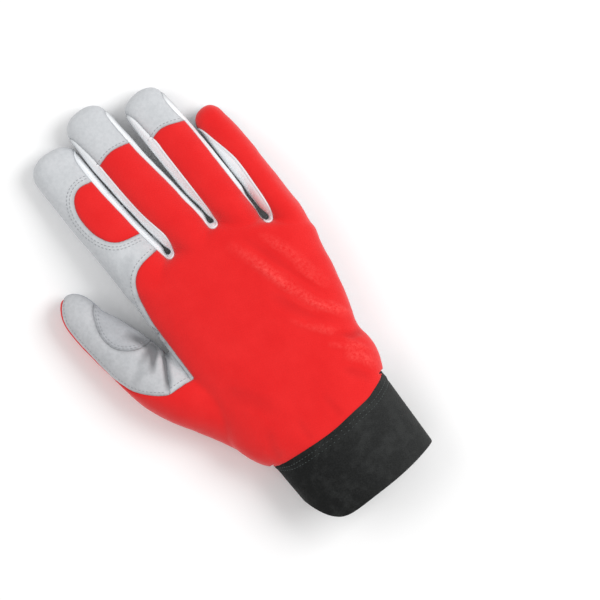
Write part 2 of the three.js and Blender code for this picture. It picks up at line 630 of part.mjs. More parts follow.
// The cuff as a solid of its own section, grown by a distance for what is worn over it.
function cuffTube(grow, fromY, toY, sides = palmSides.outer) {
  const section = { ...palmSection(0), round: 2.3 };
  return loft([fromY, toY].map((y) => {
    const wide = cuffTaper * wristWidth * (y / cuffLength - 1);
    return ringOf({ ...section, y, left: section.left - wide, right: section.right + wide }, sides, -grow);
  }));
}

// The outline of the strap in plan, with its free end rounded.
function strapOutline(inset) {
  const right = (1 - wristLeftShare) * wristWidth + strapStack + 2 * margin;
  const end = right - strapStack - 2 * margin - strapReach + inset;
  const [low, high] = [strapMargin + inset, cuffLength - strapMargin - inset];
  const radius = Math.min(strapEndRadius - inset, (high - low) / 2);
  const arc = (cx, cy, from) => Array.from({ length: 7 }, (_, k) => {
    const angle = from + (Math.PI / 2) * (k / 6);
    return [cx + radius * Math.cos(angle), cy + radius * Math.sin(angle)];
  });
  return [[right, low], [right, high], ...arc(end + radius, high - radius, Math.PI / 2),
    ...arc(end + radius, low + radius, Math.PI).slice(radius * 2 >= high - low ? 1 : 0)];
}

function strapPieces() {
  const rootHeight = strapStack + wristHeight * 0.22;
  const layer = (depth) => cuffTube(seamGap + depth, 0, cuffLength).subtract(cuffTube(seamGap, -margin, cuffLength + margin));
  const tab = prism(strapOutline(0), below, rootHeight);
  const inside = (grow) => prism(strapOutline(strapBindingWidth), below - margin, rootHeight - strapBindingWidth, grow);
  return {
    binding: layer(strapBindingDepth).intersect(tab).subtract(inside(seamGap)),
    panel: layer(strapPanelDepth).intersect(inside(0)),
  };
}

// The larger body of a cut, without the crumbs that a seam can leave where it grazes a wall.
function mainBody(solid) {
  return solid.decompose().sort((a, b) => b.volume() - a.volume())[0];
}

const leather = { color: 0xc9cdd1, roughness: 0.75, metalness: 0 };
const suede = { color: 0xb4b9c0, roughness: 0.9, metalness: 0 };
const redCloth = { color: 0xe8262a, roughness: 0.8, metalness: 0 };
const blackCloth = { color: 0x2b2d2d, roughness: 0.85, metalness: 0 };
const blackTape = { color: 0x1b1c1c, roughness: 0.6, metalness: 0 };

const pieces = [];
const keep = (name, solid, look) => pieces.push({ name, solid: mainBody(solid), look });

// The shell is cut from its seams inwards: each panel is what its cutter takes of what is left.
let shell = gloveForm(0).subtract(gloveForm(wall)).intersect(prism(pastWrist(seamGap / 2), below, above));
function cutPanel(name, cutter, look) {
  keep(name, shell.intersect(cutter(0)), look);
  shell = shell.subtract(cutter(seamGap));
}
cutPanel("palm_leather", palmCutter, suede);
cutPanel("fourchette_index_middle", (grow) => fourchetteCutter("index", "middle", grow), leather);
cutPanel("fourchette_middle_ring", (grow) => fourchetteCutter("middle", "ring", grow), leather);
cutPanel("fourchette_ring_little", (grow) => fourchetteCutter("ring", "little", grow), leather);
cutPanel("middle_cap", (grow) => capCutter(fingers.middle, 0.67, grow), leather);
cutPanel("ring_cap", (grow) => capCutter(fingers.ring, 0.69, grow), leather);
const dorsal = knuckleHeight * 0.3;
cutPanel("thumb_insert", (grow) => prism(thumbInsertOutline(), dorsal * 0.3, above, grow), suede);
cutPanel("thumb_leather", thumbCutter, leather);
cutPanel("index_insert", (grow) => prism(insertOutline(), dorsal, above, grow), redCloth);
cutPanel("index_leather", indexCutter, leather);
cutPanel("thumb_gusset", (grow) => prism(gussetOutline(), dorsal, above, grow), leather);
keep("back_panel", shell, redCloth);

const cuffForm = cuffTube(0, -margin, 1.2 * cuffLength).subtract(cuffTube(-cuffWall, -2 * margin, 1.3 * cuffLength));
const cuffPlan = prism([...planLine(hemRows, 0), ...planLine(wristSeamRows, -seamGap / 2).reverse()], below, above);
keep("cuff", cuffForm.intersect(cuffPlan), blackCloth);
const strap = strapPieces();
keep("strap_binding", strap.binding, blackTape);
keep("strap_panel", strap.panel, blackTape);

// Each piece becomes a mesh, moved so that the origin is under the middle of the glove, on the floor.
const glove = new THREE.Group();
for (const { name, solid, look } of pieces) {
  const { vertProperties, triVerts, numProp } = solid.getMesh();
  const positions = [];
  for (let i = 0; i < vertProperties.length; i += numProp) positions.push(...vertProperties.slice(i, i + 3));
  const geometry = new THREE.BufferGeometry();
  geometry.setAttribute("position", new THREE.Float32BufferAttribute(positions, 3));
  geometry.setIndex([...triVerts]);
  geometry.computeVertexNormals();
  const mesh = new THREE.Mesh(geometry, new THREE.MeshStandardMaterial(look));
  mesh.name = name;
  glove.add(mesh);
}
const box = new THREE.Box3().setFromObject(glove);
const middle = box.getCenter(new THREE.Vector3());
for (const mesh of glove.children) mesh.geometry.translate(-middle.x, -middle.y, -box.min.z);

export default glove;
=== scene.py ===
"""The finish of a right-hand mechanic glove, modelled over its frame.

Sizes are millimetres in the pattern's own coordinates: x across the hand with the thumb on the negative
side, y from the cuff to the fingertips, and z up from the floor. Every finished piece is moved from there
into the frame, in metres.
"""

from __future__ import annotations

import logging
import math
from collections.abc import Callable, Iterable, Sequence
from dataclasses import dataclass, field, replace
from enum import Enum
from functools import cached_property

import bmesh
import bpy
import numpy as np
from bmesh.types import BMesh, BMEdge, BMFace, BMVert
from mathutils import Matrix, Vector, noise
from mathutils.bvhtree import BVHTree
from mathutils.kdtree import KDTree

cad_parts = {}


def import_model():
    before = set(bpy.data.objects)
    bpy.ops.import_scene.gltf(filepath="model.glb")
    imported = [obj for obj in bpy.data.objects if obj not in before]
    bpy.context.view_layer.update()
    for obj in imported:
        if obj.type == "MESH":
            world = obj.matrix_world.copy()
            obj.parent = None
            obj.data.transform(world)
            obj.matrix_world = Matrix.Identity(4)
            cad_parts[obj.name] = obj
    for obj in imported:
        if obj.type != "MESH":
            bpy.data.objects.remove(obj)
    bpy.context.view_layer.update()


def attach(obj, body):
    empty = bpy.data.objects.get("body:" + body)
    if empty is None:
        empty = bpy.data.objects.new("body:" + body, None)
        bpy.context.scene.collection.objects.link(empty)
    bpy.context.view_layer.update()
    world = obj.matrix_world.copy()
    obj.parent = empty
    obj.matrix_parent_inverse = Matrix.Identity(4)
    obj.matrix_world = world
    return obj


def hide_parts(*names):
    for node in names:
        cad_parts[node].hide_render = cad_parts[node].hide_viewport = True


log = logging.getLogger("mechanic_glove")

MM = 0.001
PATTERN_ORIGIN = Vector((12.37, -125.66, 0.0))
TO_FRAME = Matrix.Scale(MM, 4) @ Matrix.Translation(PATTERN_ORIGIN)
WRIST_Y = 39.0
PALM_LENGTH = 126.0
WEB_Y = WRIST_Y + PALM_LENGTH
PALM_WIDTH = 102.5
KNUCKLE_HEIGHT = 34.0
WRIST_WIDTH = 76.0
FLATTENING = 1.5
WRIST_HEIGHT = 37.0
THUMB_SIDE_SHARE = 0.52
STRAP_STACK = 3.3
FINGER_ROOT = -0.3
END_START = 0.86
CLEAR = 99.0

Point = tuple[float, float]
Line = tuple[Point, ...]
Field = Callable[[np.ndarray], np.ndarray]
Colour = tuple[float, float, float]
Materials = dict[str, bpy.types.Material]


class Table:
    """Rows of sizes along a part, read on a smooth curve through them."""

    def __init__(self, columns: str, *rows: tuple[float, ...]) -> None:
        """Keep the rows, each of which starts with how far along the part it is."""
        self.columns = columns.split()
        self.rows = rows

    def read(self, column: str, along: float) -> float:
        """Read one column at a place along the part.

        Args:
            column: The name of the column.
            along: The place along the part, in the first column's units.

        Returns:
            The value on the curve through the rows, held at both ends.
        """
        c = self.columns.index(column)
        last = len(self.rows) - 1
        i = 0
        while i < last - 1 and along > self.rows[i + 1][0]:
            i += 1
        before, start, end, after = (self.rows[max(i - 1, 0)], self.rows[i], self.rows[i + 1],
                                     self.rows[min(i + 2, last)])
        span = end[0] - start[0]
        t = min(max((along - start[0]) / span, 0.0), 1.0)

        def slope(a: tuple[float, ...], b: tuple[float, ...]) -> float:
            """The rise from one row to another over this span."""
            return (b[c] - a[c]) / (b[0] - a[0]) * span if b[0] > a[0] else 0.0

        t2, t3 = t * t, t * t * t
        return ((2 * t3 - 3 * t2 + 1) * start[c] + (t3 - 2 * t2 + t) * slope(before, end)
                + (3 * t2 - 2 * t3) * end[c] + (t3 - t2) * slope(start, after))


@dataclass(frozen=True)
class Section:
    """One cross-section of a form that a hand fills, flat where it rests on the floor."""

    y: float
    left: float
    right: float
    top: float
    bottom: float
    floor: float = 0.0
    round: float = 2.3

    def at(self, angle: float, grow: float = 0.0) -> Vector:
        """Find the point of the section's outline at an angle.

        Args:
            angle: The angle in radians from the little finger's side, rising over the back of the hand.
            grow: How far the point lies outside the outline.

        Returns:
            The point in pattern coordinates.
        """
        c, s = math.cos(angle), math.sin(angle)
        power = 2 / self.round
        half_width = self.half + grow
        half_height = (self.top - self.bottom) / 2 + grow
        x = self.centre + half_width * math.copysign(abs(c) ** power, c)
        z = self.level + half_height * math.copysign(abs(s) ** power, s)
        return Vector((x, self.y, max(z, self.floor - grow)))

    @property
    def centre(self) -> float:
        """The middle of its width."""
        return (self.left + self.right) / 2

    @property
    def half(self) -> float:
        """Half of its width."""
        return (self.right - self.left) / 2

    @property
    def level(self) -> float:
        """The middle of its height."""
        return (self.top + self.bottom) / 2


@dataclass(frozen=True)
class Finger:
    """One finger's sizes: its plan gives centre and width as shares of the width along its length."""

    name: str
    centre: float
    width: float
    length: float
    thickness: float
    setback: float
    root_height: float
    plan: Table

    @property
    def root_y(self) -> float:
        """Where the finger leaves the palm."""
        return WEB_Y - self.setback

    @property
    def tip_end(self) -> float:
        """Where the side walls end under the fingertip."""
        return self.root_y + self.length - 6.0


FINGER_SIDE = Table(
    "along rise lift",
    (-0.3, 0.4, 0.3), (-0.1, 0.93, 0.08), (0.03, 1, 0.02), (0.2, 0.9, 0.1), (0.4, 0.66, 0.13),
    (0.6, 0.36, 0.08), (0.76, 0.14, 0.02), (0.86, 0.03, 0))


def finger_section(finger: Finger, along: float) -> Section:
    """The section of a finger at a share of its length from its web."""
    centre = finger.centre + finger.plan.read("centre", along) * finger.width
    half = finger.plan.read("width", along) * finger.width / 2
    rise = FINGER_SIDE.read("rise", along)
    return Section(
        y=finger.root_y + along * finger.length, left=centre - half, right=centre + half,
        top=finger.thickness + (finger.root_height * KNUCKLE_HEIGHT - finger.thickness) * rise,
        bottom=FINGER_SIDE.read("lift", along) * finger.thickness - FLATTENING)


def finger_plan(*rows: tuple[float, float, float]) -> Table:
    """A finger's centre and width at shares of its length."""
    return Table("along centre width", *rows)


FINGERS: dict[str, Finger] = {finger.name: finger for finger in (
    Finger("index", -30.45, 31.9, 83.5, 19, 0, 0.96, finger_plan(
        (-0.3, 0, 0.62), (-0.1, 0, 0.97), (0.02, 0, 1), (0.1, -0.014, 0.972), (0.3, -0.053, 0.92),
        (0.5, -0.086, 0.9), (0.7, -0.105, 0.885), (0.86, -0.11, 0.88))),
    Finger("middle", 0.1, 27.2, 91, 19.5, 0, 0.99, finger_plan(
        (-0.3, 0, 0.62), (-0.1, 0, 0.93), (0.02, 0.004, 0.993), (0.1, -0.015, 0.978), (0.2, -0.066, 0.993),
        (0.33, -0.108, 0.985), (0.5, -0.165, 0.965), (0.69, -0.198, 0.968), (0.86, -0.222, 0.93))),
    Finger("ring", 26.8, 24.3, 81, 19, 1.5, 0.96, finger_plan(
        (-0.3, 0, 0.62), (-0.1, 0, 0.93), (0.05, 0.004, 0.967), (0.15, -0.008, 0.98), (0.26, -0.04, 1.03),
        (0.45, -0.048, 1.03), (0.7, -0.07, 1.025), (0.86, -0.098, 0.985))),
    Finger("little", 48.65, 17.3, 68.5, 16.5, 17, 0.87, finger_plan(
        (-0.3, -0.06, 0.87), (-0.1, 0.005, 1.03), (0.03, 0, 1.02), (0.16, -0.006, 1.035),
        (0.4, -0.006, 1.04), (0.6, -0.01, 1.035), (0.75, -0.026, 1.01), (0.87, -0.06, 0.95))),
)}
SLOTS: dict[str, tuple[str, str]] = {
    "fourchette_index_middle": ("index", "middle"),
    "fourchette_middle_ring": ("middle", "ring"),
    "fourchette_ring_little": ("ring", "little"),
}


def smooth_path(points: Sequence[Point], per_span: int = 8) -> list[Point]:
    """Run a smooth curve through points of the plan.

    Args:
        points: The points, first and last included.
        per_span: How many steps the curve takes from each point to the next.

    Returns:
        The points of the curve.
    """
    path: list[Point] = []
    last = len(points) - 1
    for i in range(last):
        p0, p1, p2, p3 = (Vector(points[max(i - 1, 0)]), Vector(points[i]), Vector(points[i + 1]),
                          Vector(points[min(i + 2, last)]))
        for k in range(per_span):
            t = k / per_span
            here = 0.5 * (2 * p1 + (p2 - p0) * t + (2 * p0 - 5 * p1 + 4 * p2 - p3) * t ** 2
                          + (3 * p1 - p0 - 3 * p2 + p3) * t ** 3)
            path.append((here.x, here.y))
    path.append((points[last][0], points[last][1]))
    return path


def even_path(points: Sequence[Point], step: float) -> list[Point]:
    """Walk along a path of the plan in even steps."""
    marks = np.array(points)
    reach = np.concatenate([[0.0], np.cumsum(np.hypot(*np.diff(marks, axis=0).T))])
    count = max(int(round(reach[-1] / step)), 1)
    at = np.linspace(0.0, reach[-1], count + 1)
    return list(zip(np.interp(at, reach, marks[:, 0]), np.interp(at, reach, marks[:, 1])))


def offset_path(points: Sequence[Point], distance: float) -> list[Point]:
    """Move a path of the plan to its left by a distance."""
    marks = np.array(points)
    way = np.gradient(marks, axis=0)
    way /= np.maximum(np.hypot(way[:, 0], way[:, 1]), 1e-9)[:, None]
    moved = marks + distance * np.stack([-way[:, 1], way[:, 0]], axis=1)
    return [(float(x), float(y)) for x, y in moved]


def line_distance(points: np.ndarray, path: Sequence[Point], closed: bool) -> tuple[np.ndarray, np.ndarray]:
    """Measure how far points lie from a path of the plan.

    Args:
        points: An array of points, one per row.
        path: The points of the path.
        closed: Whether the path runs back to its start.

    Returns:
        The distances, and for each point the share of the path's length where it is nearest.
    """
    line = np.array(path, dtype=float)
    ends = np.roll(line, -1, axis=0) if closed else line[1:]
    starts = line if closed else line[:-1]
    way = ends - starts
    length = np.maximum(np.hypot(way[:, 0], way[:, 1]), 1e-9)
    run = np.concatenate([[0.0], np.cumsum(length)])
    best = np.full(len(points), np.inf)
    share = np.zeros(len(points))
    for i, (start, step) in enumerate(zip(starts, way)):
        away = points[:, :2] - start
        t = np.clip((away @ step) / length[i] ** 2, 0.0, 1.0)
        gap = np.hypot(away[:, 0] - t * step[0], away[:, 1] - t * step[1])
        nearer = gap < best
        best[nearer] = gap[nearer]
        share[nearer] = (run[i] + t[nearer] * length[i]) / run[-1]
    return best, share


def plan_field(points: np.ndarray, outline: Sequence[Point]) -> np.ndarray:
    """The distance in plan from each point to an outline, negative inside it."""
    distance, _ = line_distance(points, outline, closed=True)
    inside = np.zeros(len(points), dtype=bool)
    x, y = points[:, 0], points[:, 1]
    for (x0, y0), (x1, y1) in zip(outline, list(outline[1:]) + [outline[0]]):
        if y0 == y1:
            continue
        crosses = ((y0 > y) != (y1 > y)) & (x < (x1 - x0) * (y - y0) / (y1 - y0) + x0)
        inside ^= crosses
    return np.where(inside, -distance, distance)


@dataclass(frozen=True)
class Fold:
    """A soft ridge or crease: its path in plan, half width, and height, which is negative for a crease."""

    path: Line
    width: float
    height: float
    fade_in: float = 0.25
    fade_out: float = 0.35

    def rise(self, points: np.ndarray) -> np.ndarray:
        """How far the fold lifts each point."""
        away, share = line_distance(points, smooth_path(self.path, 6), closed=False)
        ends = np.clip(share / self.fade_in, 0, 1) * np.clip((1 - share) / self.fade_out, 0, 1)
        return self.height * np.exp(-(away / self.width) ** 2) * ends ** 0.7


class Panel(Enum):
    """The panels of the glove, in the order in which they are cut from the hand's form."""

    PALM = "palm_leather"
    INDEX_MIDDLE = "fourchette_index_middle"
    MIDDLE_RING = "fourchette_middle_ring"
    RING_LITTLE = "fourchette_ring_little"
    MIDDLE_CAP = "middle_cap"
    RING_CAP = "ring_cap"
    THUMB_INSERT = "thumb_insert"
    THUMB = "thumb_leather"
    INDEX_INSERT = "index_insert"
    INDEX = "index_leather"
    GUSSET = "thumb_gusset"
    BACK = "back_panel"


WRIST_SEAM: Line = (
    (-90, 43), (-44, 42.4), (-40, 41), (-36, 39.4), (-30, 38.2), (-10, 37), (0, 37), (20, 38.6),
    (27, 40), (32, 42), (36, 44.4), (40, 46.4), (90, 47))
INDEX_BORDER: Line = (
    (-44.7, 104.5), (-44.7, 118), (-44.5, 130), (-44.2, 140), (-43, 148), (-41, 157), (-37, 164.5),
    (-30, 169), (-19, 170.5))
INDEX_INSERT_ARC: Line = (
    (-15, 221), (-22, 221.3), (-30, 222.5), (-36, 219.5), (-39.5, 213), (-40.3, 205), (-39, 197),
    (-35.5, 190), (-30, 185.8), (-20, 183.5), (-13, 183.5))
THUMB_BORDER: Line = (
    (-60, 105.6), (-63, 107), (-67, 110), (-72, 115), (-76, 121), (-79, 130.5), (-80.3, 140), (-81.3, 149),
    (-82.2, 160), (-82, 169), (-79.6, 176), (-75, 182))
THUMB_INSERT_ARC: Line = (
    (-58, 171), (-63, 168.2), (-67, 162.5), (-70, 153.5), (-69, 144.5), (-64, 138.3), (-58, 135.3),
    (-52, 134.6), (-44, 135))
THUMB_FOLD: Line = ((-46.6, 130.5), (-48, 126.5), (-49.4, 123), (-54.5, 114.5), (-60, 105.6))
WRAP_SEAM: Line = (
    (-19, 36), (-22, 41), (-32, 50), (-40, 60), (-50, 75), (-57, 84), (-60, 92), (-64, 105), (-68, 120),
    (-71, 135), (-76, 148), (-79, 160), (-79.3, 168), (-77.5, 176), (-73, 183))
CAP_SEAMS: dict[str, Line] = {
    "middle": ((-24, 223), (-15.5, 225), (-5, 227.3), (6.5, 225.3), (11, 224.5)),
    "ring": ((11, 217.3), (14, 218.3), (24, 220.6), (35, 217.2), (39, 216)),
}
SLOT_SEAMS: dict[str, tuple[Line, Line]] = {
    "fourchette_index_middle": (
        ((-15.6, 163.5), (-16.8, 168), (-17.6, 174), (-18.6, 180), (-19.5, 188), (-20.2, 196),
         (-21, 204), (-21.8, 212), (-22.3, 222), (-22.4, 230), (-22, 236), (-20, 240), (-16, 243)),
        ((-12.4, 163.5), (-10.6, 168), (-9.9, 174), (-11, 180), (-12.5, 188), (-13.4, 196), (-14, 204),
         (-14.5, 216), (-15, 228), (-16.2, 238), (-18, 246), (-22, 250))),
    "fourchette_middle_ring": (
        ((12.9, 162), (12.1, 168), (11.5, 176), (10.5, 184), (10, 192), (9, 200), (8, 208), (7, 216),
         (6.2, 226), (5.6, 238), (6, 246), (10, 251)),
        ((15.4, 162), (16.8, 168), (17, 180), (17, 208), (17.2, 216), (16.2, 225), (15.4, 233),
         (13, 239), (9, 242))),
    "fourchette_ring_little": (
        ((38.3, 145.5), (37.5, 152), (37.3, 160), (37.3, 180), (37.2, 212), (35.9, 222), (35.4, 231),
         (37, 238), (41, 242)),
        ((41.2, 145.5), (43, 151), (43.9, 158), (44.5, 168), (45, 176), (44.9, 184), (43.5, 192),
         (41.7, 200), (40.2, 207), (37, 212))),
}
PALM_EDGE: tuple[tuple[float, float, float], ...] = (
    (-0.02, 0.44, 0.42), (0.1, 0.44, 0.38), (0.3, 0.42, 0.3), (0.6, 0.41, 0.26), (0.9, 0.39, 0.23),
    (1.15, 0.36, 0.2), (1.4, 0.3, 0.2), (1.8, 0.26, 0.2))

BACK_FOLDS: tuple[Fold, ...] = (
    Fold(((12, 152), (20, 136), (26, 112), (33, 92), (43, 74)), 4.2, 0.75),
    Fold(((20, 150), (27, 132), (32, 112), (40, 92)), 3.6, -0.6),
    Fold(((29, 146), (36, 128), (40, 110), (44, 96)), 3.8, 0.6),
    Fold(((14, 118), (20, 104), (30, 86), (40, 72)), 4.0, -0.55),
    Fold(((22, 92), (31, 78), (41, 68)), 3.2, 0.6),
    Fold(((44, 69), (36, 71), (28, 78)), 2.2, -1.3, 0.02, 0.5),
    Fold(((26, 66), (33, 58), (36.5, 48)), 3.4, 0.8),
    Fold(((17, 134), (22, 122), (25, 108)), 1.6, 0.45),
    Fold(((27, 124), (31, 112), (35, 101)), 1.5, 0.5),
    Fold(((33, 120), (37, 108), (41, 97)), 1.5, 0.45),
    Fold(((20, 110), (25, 98), (32, 86)), 1.6, 0.5),
    Fold(((28, 101), (34, 91), (41, 82)), 1.5, 0.5),
    Fold(((14, 100), (21, 88), (30, 77)), 1.8, 0.4),
    Fold(((36, 95), (40, 86), (43, 78)), 1.3, 0.45),
    Fold(((22, 76), (30, 68), (38, 61)), 1.6, 0.55),
    Fold(((30, 75), (35, 66), (40, 56)), 1.5, 0.5),
    Fold(((20, 60), (27, 52), (31, 43)), 3.0, -0.5),
    Fold(((-38, 92), (-28, 78), (-20, 62)), 5.0, -0.45),
    Fold(((-30, 60), (-34, 50), (-35, 42)), 3.0, -0.45, 0.3, 0.05),
    Fold(((-14, 56), (-15, 48), (-15, 40)), 2.6, -0.35, 0.4, 0.05),
    Fold(((4, 58), (5, 48), (5, 40)), 2.8, -0.4, 0.4, 0.05),
    Fold(((-46.5, 130), (-50, 122), (-56, 112), (-60, 107)), 2.0, -1.3, 0.02, 0.25),
    Fold(((-48, 129), (-53, 123.5), (-58, 117)), 2.0, 0.6, 0.02, 0.5),
    Fold(((-47.5, 131), (-54, 126.5), (-61, 120)), 2.2, -1.2, 0.02, 0.6),
    Fold(((-48, 132.5), (-56, 130.5), (-65, 127)), 2.4, -0.7, 0.02, 0.7),
    Fold(((-48, 132), (-52, 136.5), (-58, 148)), 2.6, -0.9, 0.02, 0.6),
    Fold(((-52, 134), (-57, 141), (-63, 148)), 2.6, -0.5, 0.05, 0.6),
    Fold(((-62, 127), (-70, 122), (-76, 119)), 3.6, -0.3),
    Fold(((-46, 131), (-51, 129), (-57, 124), (-62, 117)), 7.0, -0.35, 0.02, 0.7),
    Fold(((-28, 178), (-36, 172), (-43, 160)), 4.0, -0.35),
)
PALM_FOLDS: tuple[Fold, ...] = (
    Fold(((-37, 114), (-41, 104), (-44, 95)), 2.6, 2.4),
    Fold(((-42, 118), (-48, 104), (-54, 87)), 2.8, 2.2),
    Fold(((-38, 121), (-22, 116), (-5, 115)), 2.6, 1.4),
    Fold(((-18, 145), (-29, 133), (-38, 123)), 2.6, 1.5),
    Fold(((14, 160), (24, 155), (32, 151)), 2.2, 1.3, 0.02),
    Fold(((14, 158), (18, 149), (20, 140)), 2.2, 1.1, 0.02),
    Fold(((14, 159), (2, 158), (-10, 160)), 2.2, 1.1, 0.05, 0.05),
    Fold(((-12, 159), (-22, 157), (-33, 156)), 2.2, 1.2, 0.02),
    Fold(((-45, 126), (-50, 121)), 2.0, 0.9),
    Fold(((27, 38), (29, 46), (31, 52)), 1.9, 1.5, 0.02),
    Fold(((20, 38), (22, 50), (24, 58)), 1.9, 1.7, 0.02),
    Fold(((13, 38), (13, 48), (15, 60)), 1.9, 1.8, 0.02),
    Fold(((6, 38), (6, 50), (4, 62)), 1.9, 1.8, 0.02),
    Fold(((-1, 38), (-2, 47), (-4, 56)), 1.9, 1.7, 0.02),
    Fold(((-8, 38), (-11, 50), (-16, 60)), 1.9, 1.7, 0.02),
    Fold(((-15, 38), (-20, 48), (-26, 55)), 1.9, 1.5, 0.02),
)


def put(name: str, data: bpy.types.ID) -> bpy.types.Object:
    """Put a new object into the scene."""
    made = bpy.data.objects.new(name, data)
    bpy.context.scene.collection.objects.link(made)
    return made


def turns(count: int) -> list[float]:
    """Evenly spaced angles round a full turn."""
    return [2 * math.pi * k / count for k in range(count)]


def loop_edges(bm: BMesh, ring: Sequence[BMVert]) -> list[BMEdge]:
    """The edges that join the vertices of a ring, in order."""
    return [bm.edges.get((ring[i - 1], ring[i])) for i in range(len(ring))]


def tube(rings: Sequence[Sequence[Vector]], capped: bool) -> BMesh:
    """Make a tube by extruding a circle from ring to ring.

    Args:
        rings: The places of every ring's vertices, all with the same number.
        capped: Whether both ends are closed.

    Returns:
        The tube, with its faces outwards.
    """
    bm = bmesh.new()
    made = bmesh.ops.create_circle(bm, cap_ends=capped, segments=len(rings[0]), radius=1.0)
    ring = sorted(made["verts"], key=lambda v: math.atan2(v.co.y, v.co.x) % (2 * math.pi))
    for vert, place in zip(ring, rings[0]):
        vert.co = place
    for places in rings[1:]:
        made = bmesh.ops.extrude_edge_only(bm, edges=loop_edges(bm, ring))
        fresh = {item for item in made["geom"] if isinstance(item, BMVert)}
        ring = [next(e.other_vert(v) for e in v.link_edges if e.other_vert(v) in fresh) for v in ring]
        for vert, place in zip(ring, places):
            vert.co = place
    if capped:
        bmesh.ops.contextual_create(bm, geom=loop_edges(bm, ring))
    bmesh.ops.recalc_face_normals(bm, faces=bm.faces[:])
    return bm


@dataclass(frozen=True)
class HandForm:
    """The form that a hand fills: the palm, four fingers and the thumb, fused into one skin."""

    voxel: float = 0.95
    smoothing: int = 7
    slim: float = 0.92
    regain: float = 1.04
    filling: float = 7.0
    palm_sides: int = 72
    finger_sides: int = 36
    end_angles: tuple[float, ...] = (10, 20, 30, 40, 50, 60, 70, 79, 86)
    palm_rows: Table = Table(
        "along palm left right top round",
        (0, 0, 0.505, 0.402, 1.14, 2.2), (0.055, 0.4, 0.505, 0.402, 1.14, 2.3),
        (0.11, 0.7, 0.505, 0.423, 1.13, 2.4), (0.19, 1, 0.495, 0.42, 1.12, 2.5),
        (0.27, 1, 0.49, 0.411, 1.1, 2.6), (0.35, 1, 0.485, 0.441, 1.09, 2.7),
        (0.425, 1, 0.48, 0.469, 1.07, 2.7), (0.49, 1, 0.475, 0.49, 1.06, 2.7),
        (0.55, 1, 0.47, 0.507, 1.05, 2.7), (0.61, 1, 0.462, 0.518, 1.04, 2.7),
        (0.68, 1, 0.453, 0.531, 1.03, 2.7), (0.75, 1, 0.45, 0.542, 1.01, 2.8),
        (0.84, 1, 0.45, 0.55, 1, 2.9), (0.9, 1, 0.448, 0.548, 0.98, 3))
    thumb_rows: Table = Table(
        "along centre width top lift",
        (0, 0.255, 1.4, 0.8, 0.3), (0.08, 0.294, 1.48, 0.9, 0.15), (0.16, 0.343, 1.5, 0.97, 0.05),
        (0.23, 0.402, 1.44, 1, 0), (0.31, 0.475, 1.36, 1, 0), (0.41, 0.557, 1.18, 0.97, 0),
        (0.48, 0.596, 1.07, 0.94, 0.03), (0.56, 0.617, 1.035, 0.91, 0.06), (0.64, 0.634, 1.02, 0.88, 0.07),
        (0.71, 0.654, 0.965, 0.84, 0.06), (0.79, 0.68, 0.875, 0.78, 0.03), (0.86, 0.705, 0.74, 0.72, 0))
    thumb_root: float = 52.0
    thumb_length: float = 130.0
    thumb_width: float = 29.0
    thumb_thickness: float = 21.0
    thumb_height: float = 0.88

    def palm_section(self, along: float) -> Section:
        """The palm's section at a share of its length from the wrist seam."""
        def row(column: str) -> float:
            """One column of the palm's table."""
            return self.palm_rows.read(column, along)

        def mixed(wrist: float, palm: float) -> float:
            """A size on its way from the wrist's to the palm's."""
            return wrist + (palm - wrist) * row("palm")

        return Section(
            y=WRIST_Y + along * PALM_LENGTH,
            left=-mixed(THUMB_SIDE_SHARE * WRIST_WIDTH, row("left") * PALM_WIDTH),
            right=mixed((1 - THUMB_SIDE_SHARE) * WRIST_WIDTH, row("right") * PALM_WIDTH),
            top=mixed(STRAP_STACK + WRIST_HEIGHT, row("top") * KNUCKLE_HEIGHT),
            bottom=mixed(STRAP_STACK, -FLATTENING), floor=mixed(STRAP_STACK, 0), round=row("round"))

    def thumb_section(self, along: float) -> Section:
        """The thumb's section at a share of its length."""
        def row(column: str) -> float:
            """One column of the thumb's table."""
            return self.thumb_rows.read(column, along)

        centre = -row("centre") * PALM_WIDTH
        half = row("width") * self.thumb_width / 2
        return Section(
            y=self.thumb_root + along * self.thumb_length, left=centre - half, right=centre + half,
            top=row("top") * self.thumb_height * KNUCKLE_HEIGHT,
            bottom=row("lift") * self.thumb_thickness - FLATTENING)

    def rings(self, sections: Sequence[Section], sides: int, reach: float,
              power: float) -> list[list[Vector]]:
        """Draw the rings of a form and of its rounded end.

        Args:
            sections: The sections up to where the end starts to round.
            sides: How many points a ring has.
            reach: How much further the rounded end reaches.
            power: How blunt the end is: smaller is blunter.

        Returns:
            The rings' points.
        """
        angles = turns(sides)
        drawn = [[section.at(angle) for angle in angles] for section in sections]
        last = sections[-1]
        middle = Vector((last.centre, last.y, (last.top + max(last.bottom, 0)) / 2))
        full = drawn[-1]
        for degrees in self.end_angles:
            turn = math.radians(degrees)
            shrink, ahead = math.cos(turn) ** power, math.sin(turn) ** power * reach
            drawn.append([middle + (point - middle) * shrink + Vector((0, ahead, 0)) for point in full])
        return drawn

    @staticmethod
    def setback(x: float) -> float:
        """How far the front of the palm lies back at a place across it."""
        return float(np.interp(x, [-31, -14, 14.5, 39.5, 57], [0, 0, 0.75, 17, 25.5]))

    def palm(self) -> BMesh:
        """The palm, with its front set back beside the shorter fingers."""
        stations = np.linspace(-0.16, 0.9, 50)
        sections = [self.palm_section(float(along)) for along in stations]
        rings = self.rings(sections, self.palm_sides, WEB_Y - sections[-1].y, 0.7)
        start = WRIST_Y + 0.6 * PALM_LENGTH
        for ring in rings:
            for point in ring:
                t = min(max((point.y - start) / (WEB_Y - start), 0.0), 1.0)
                point.y -= self.setback(point.x) * t * t * (3 - 2 * t)
        return tube(rings, capped=True)

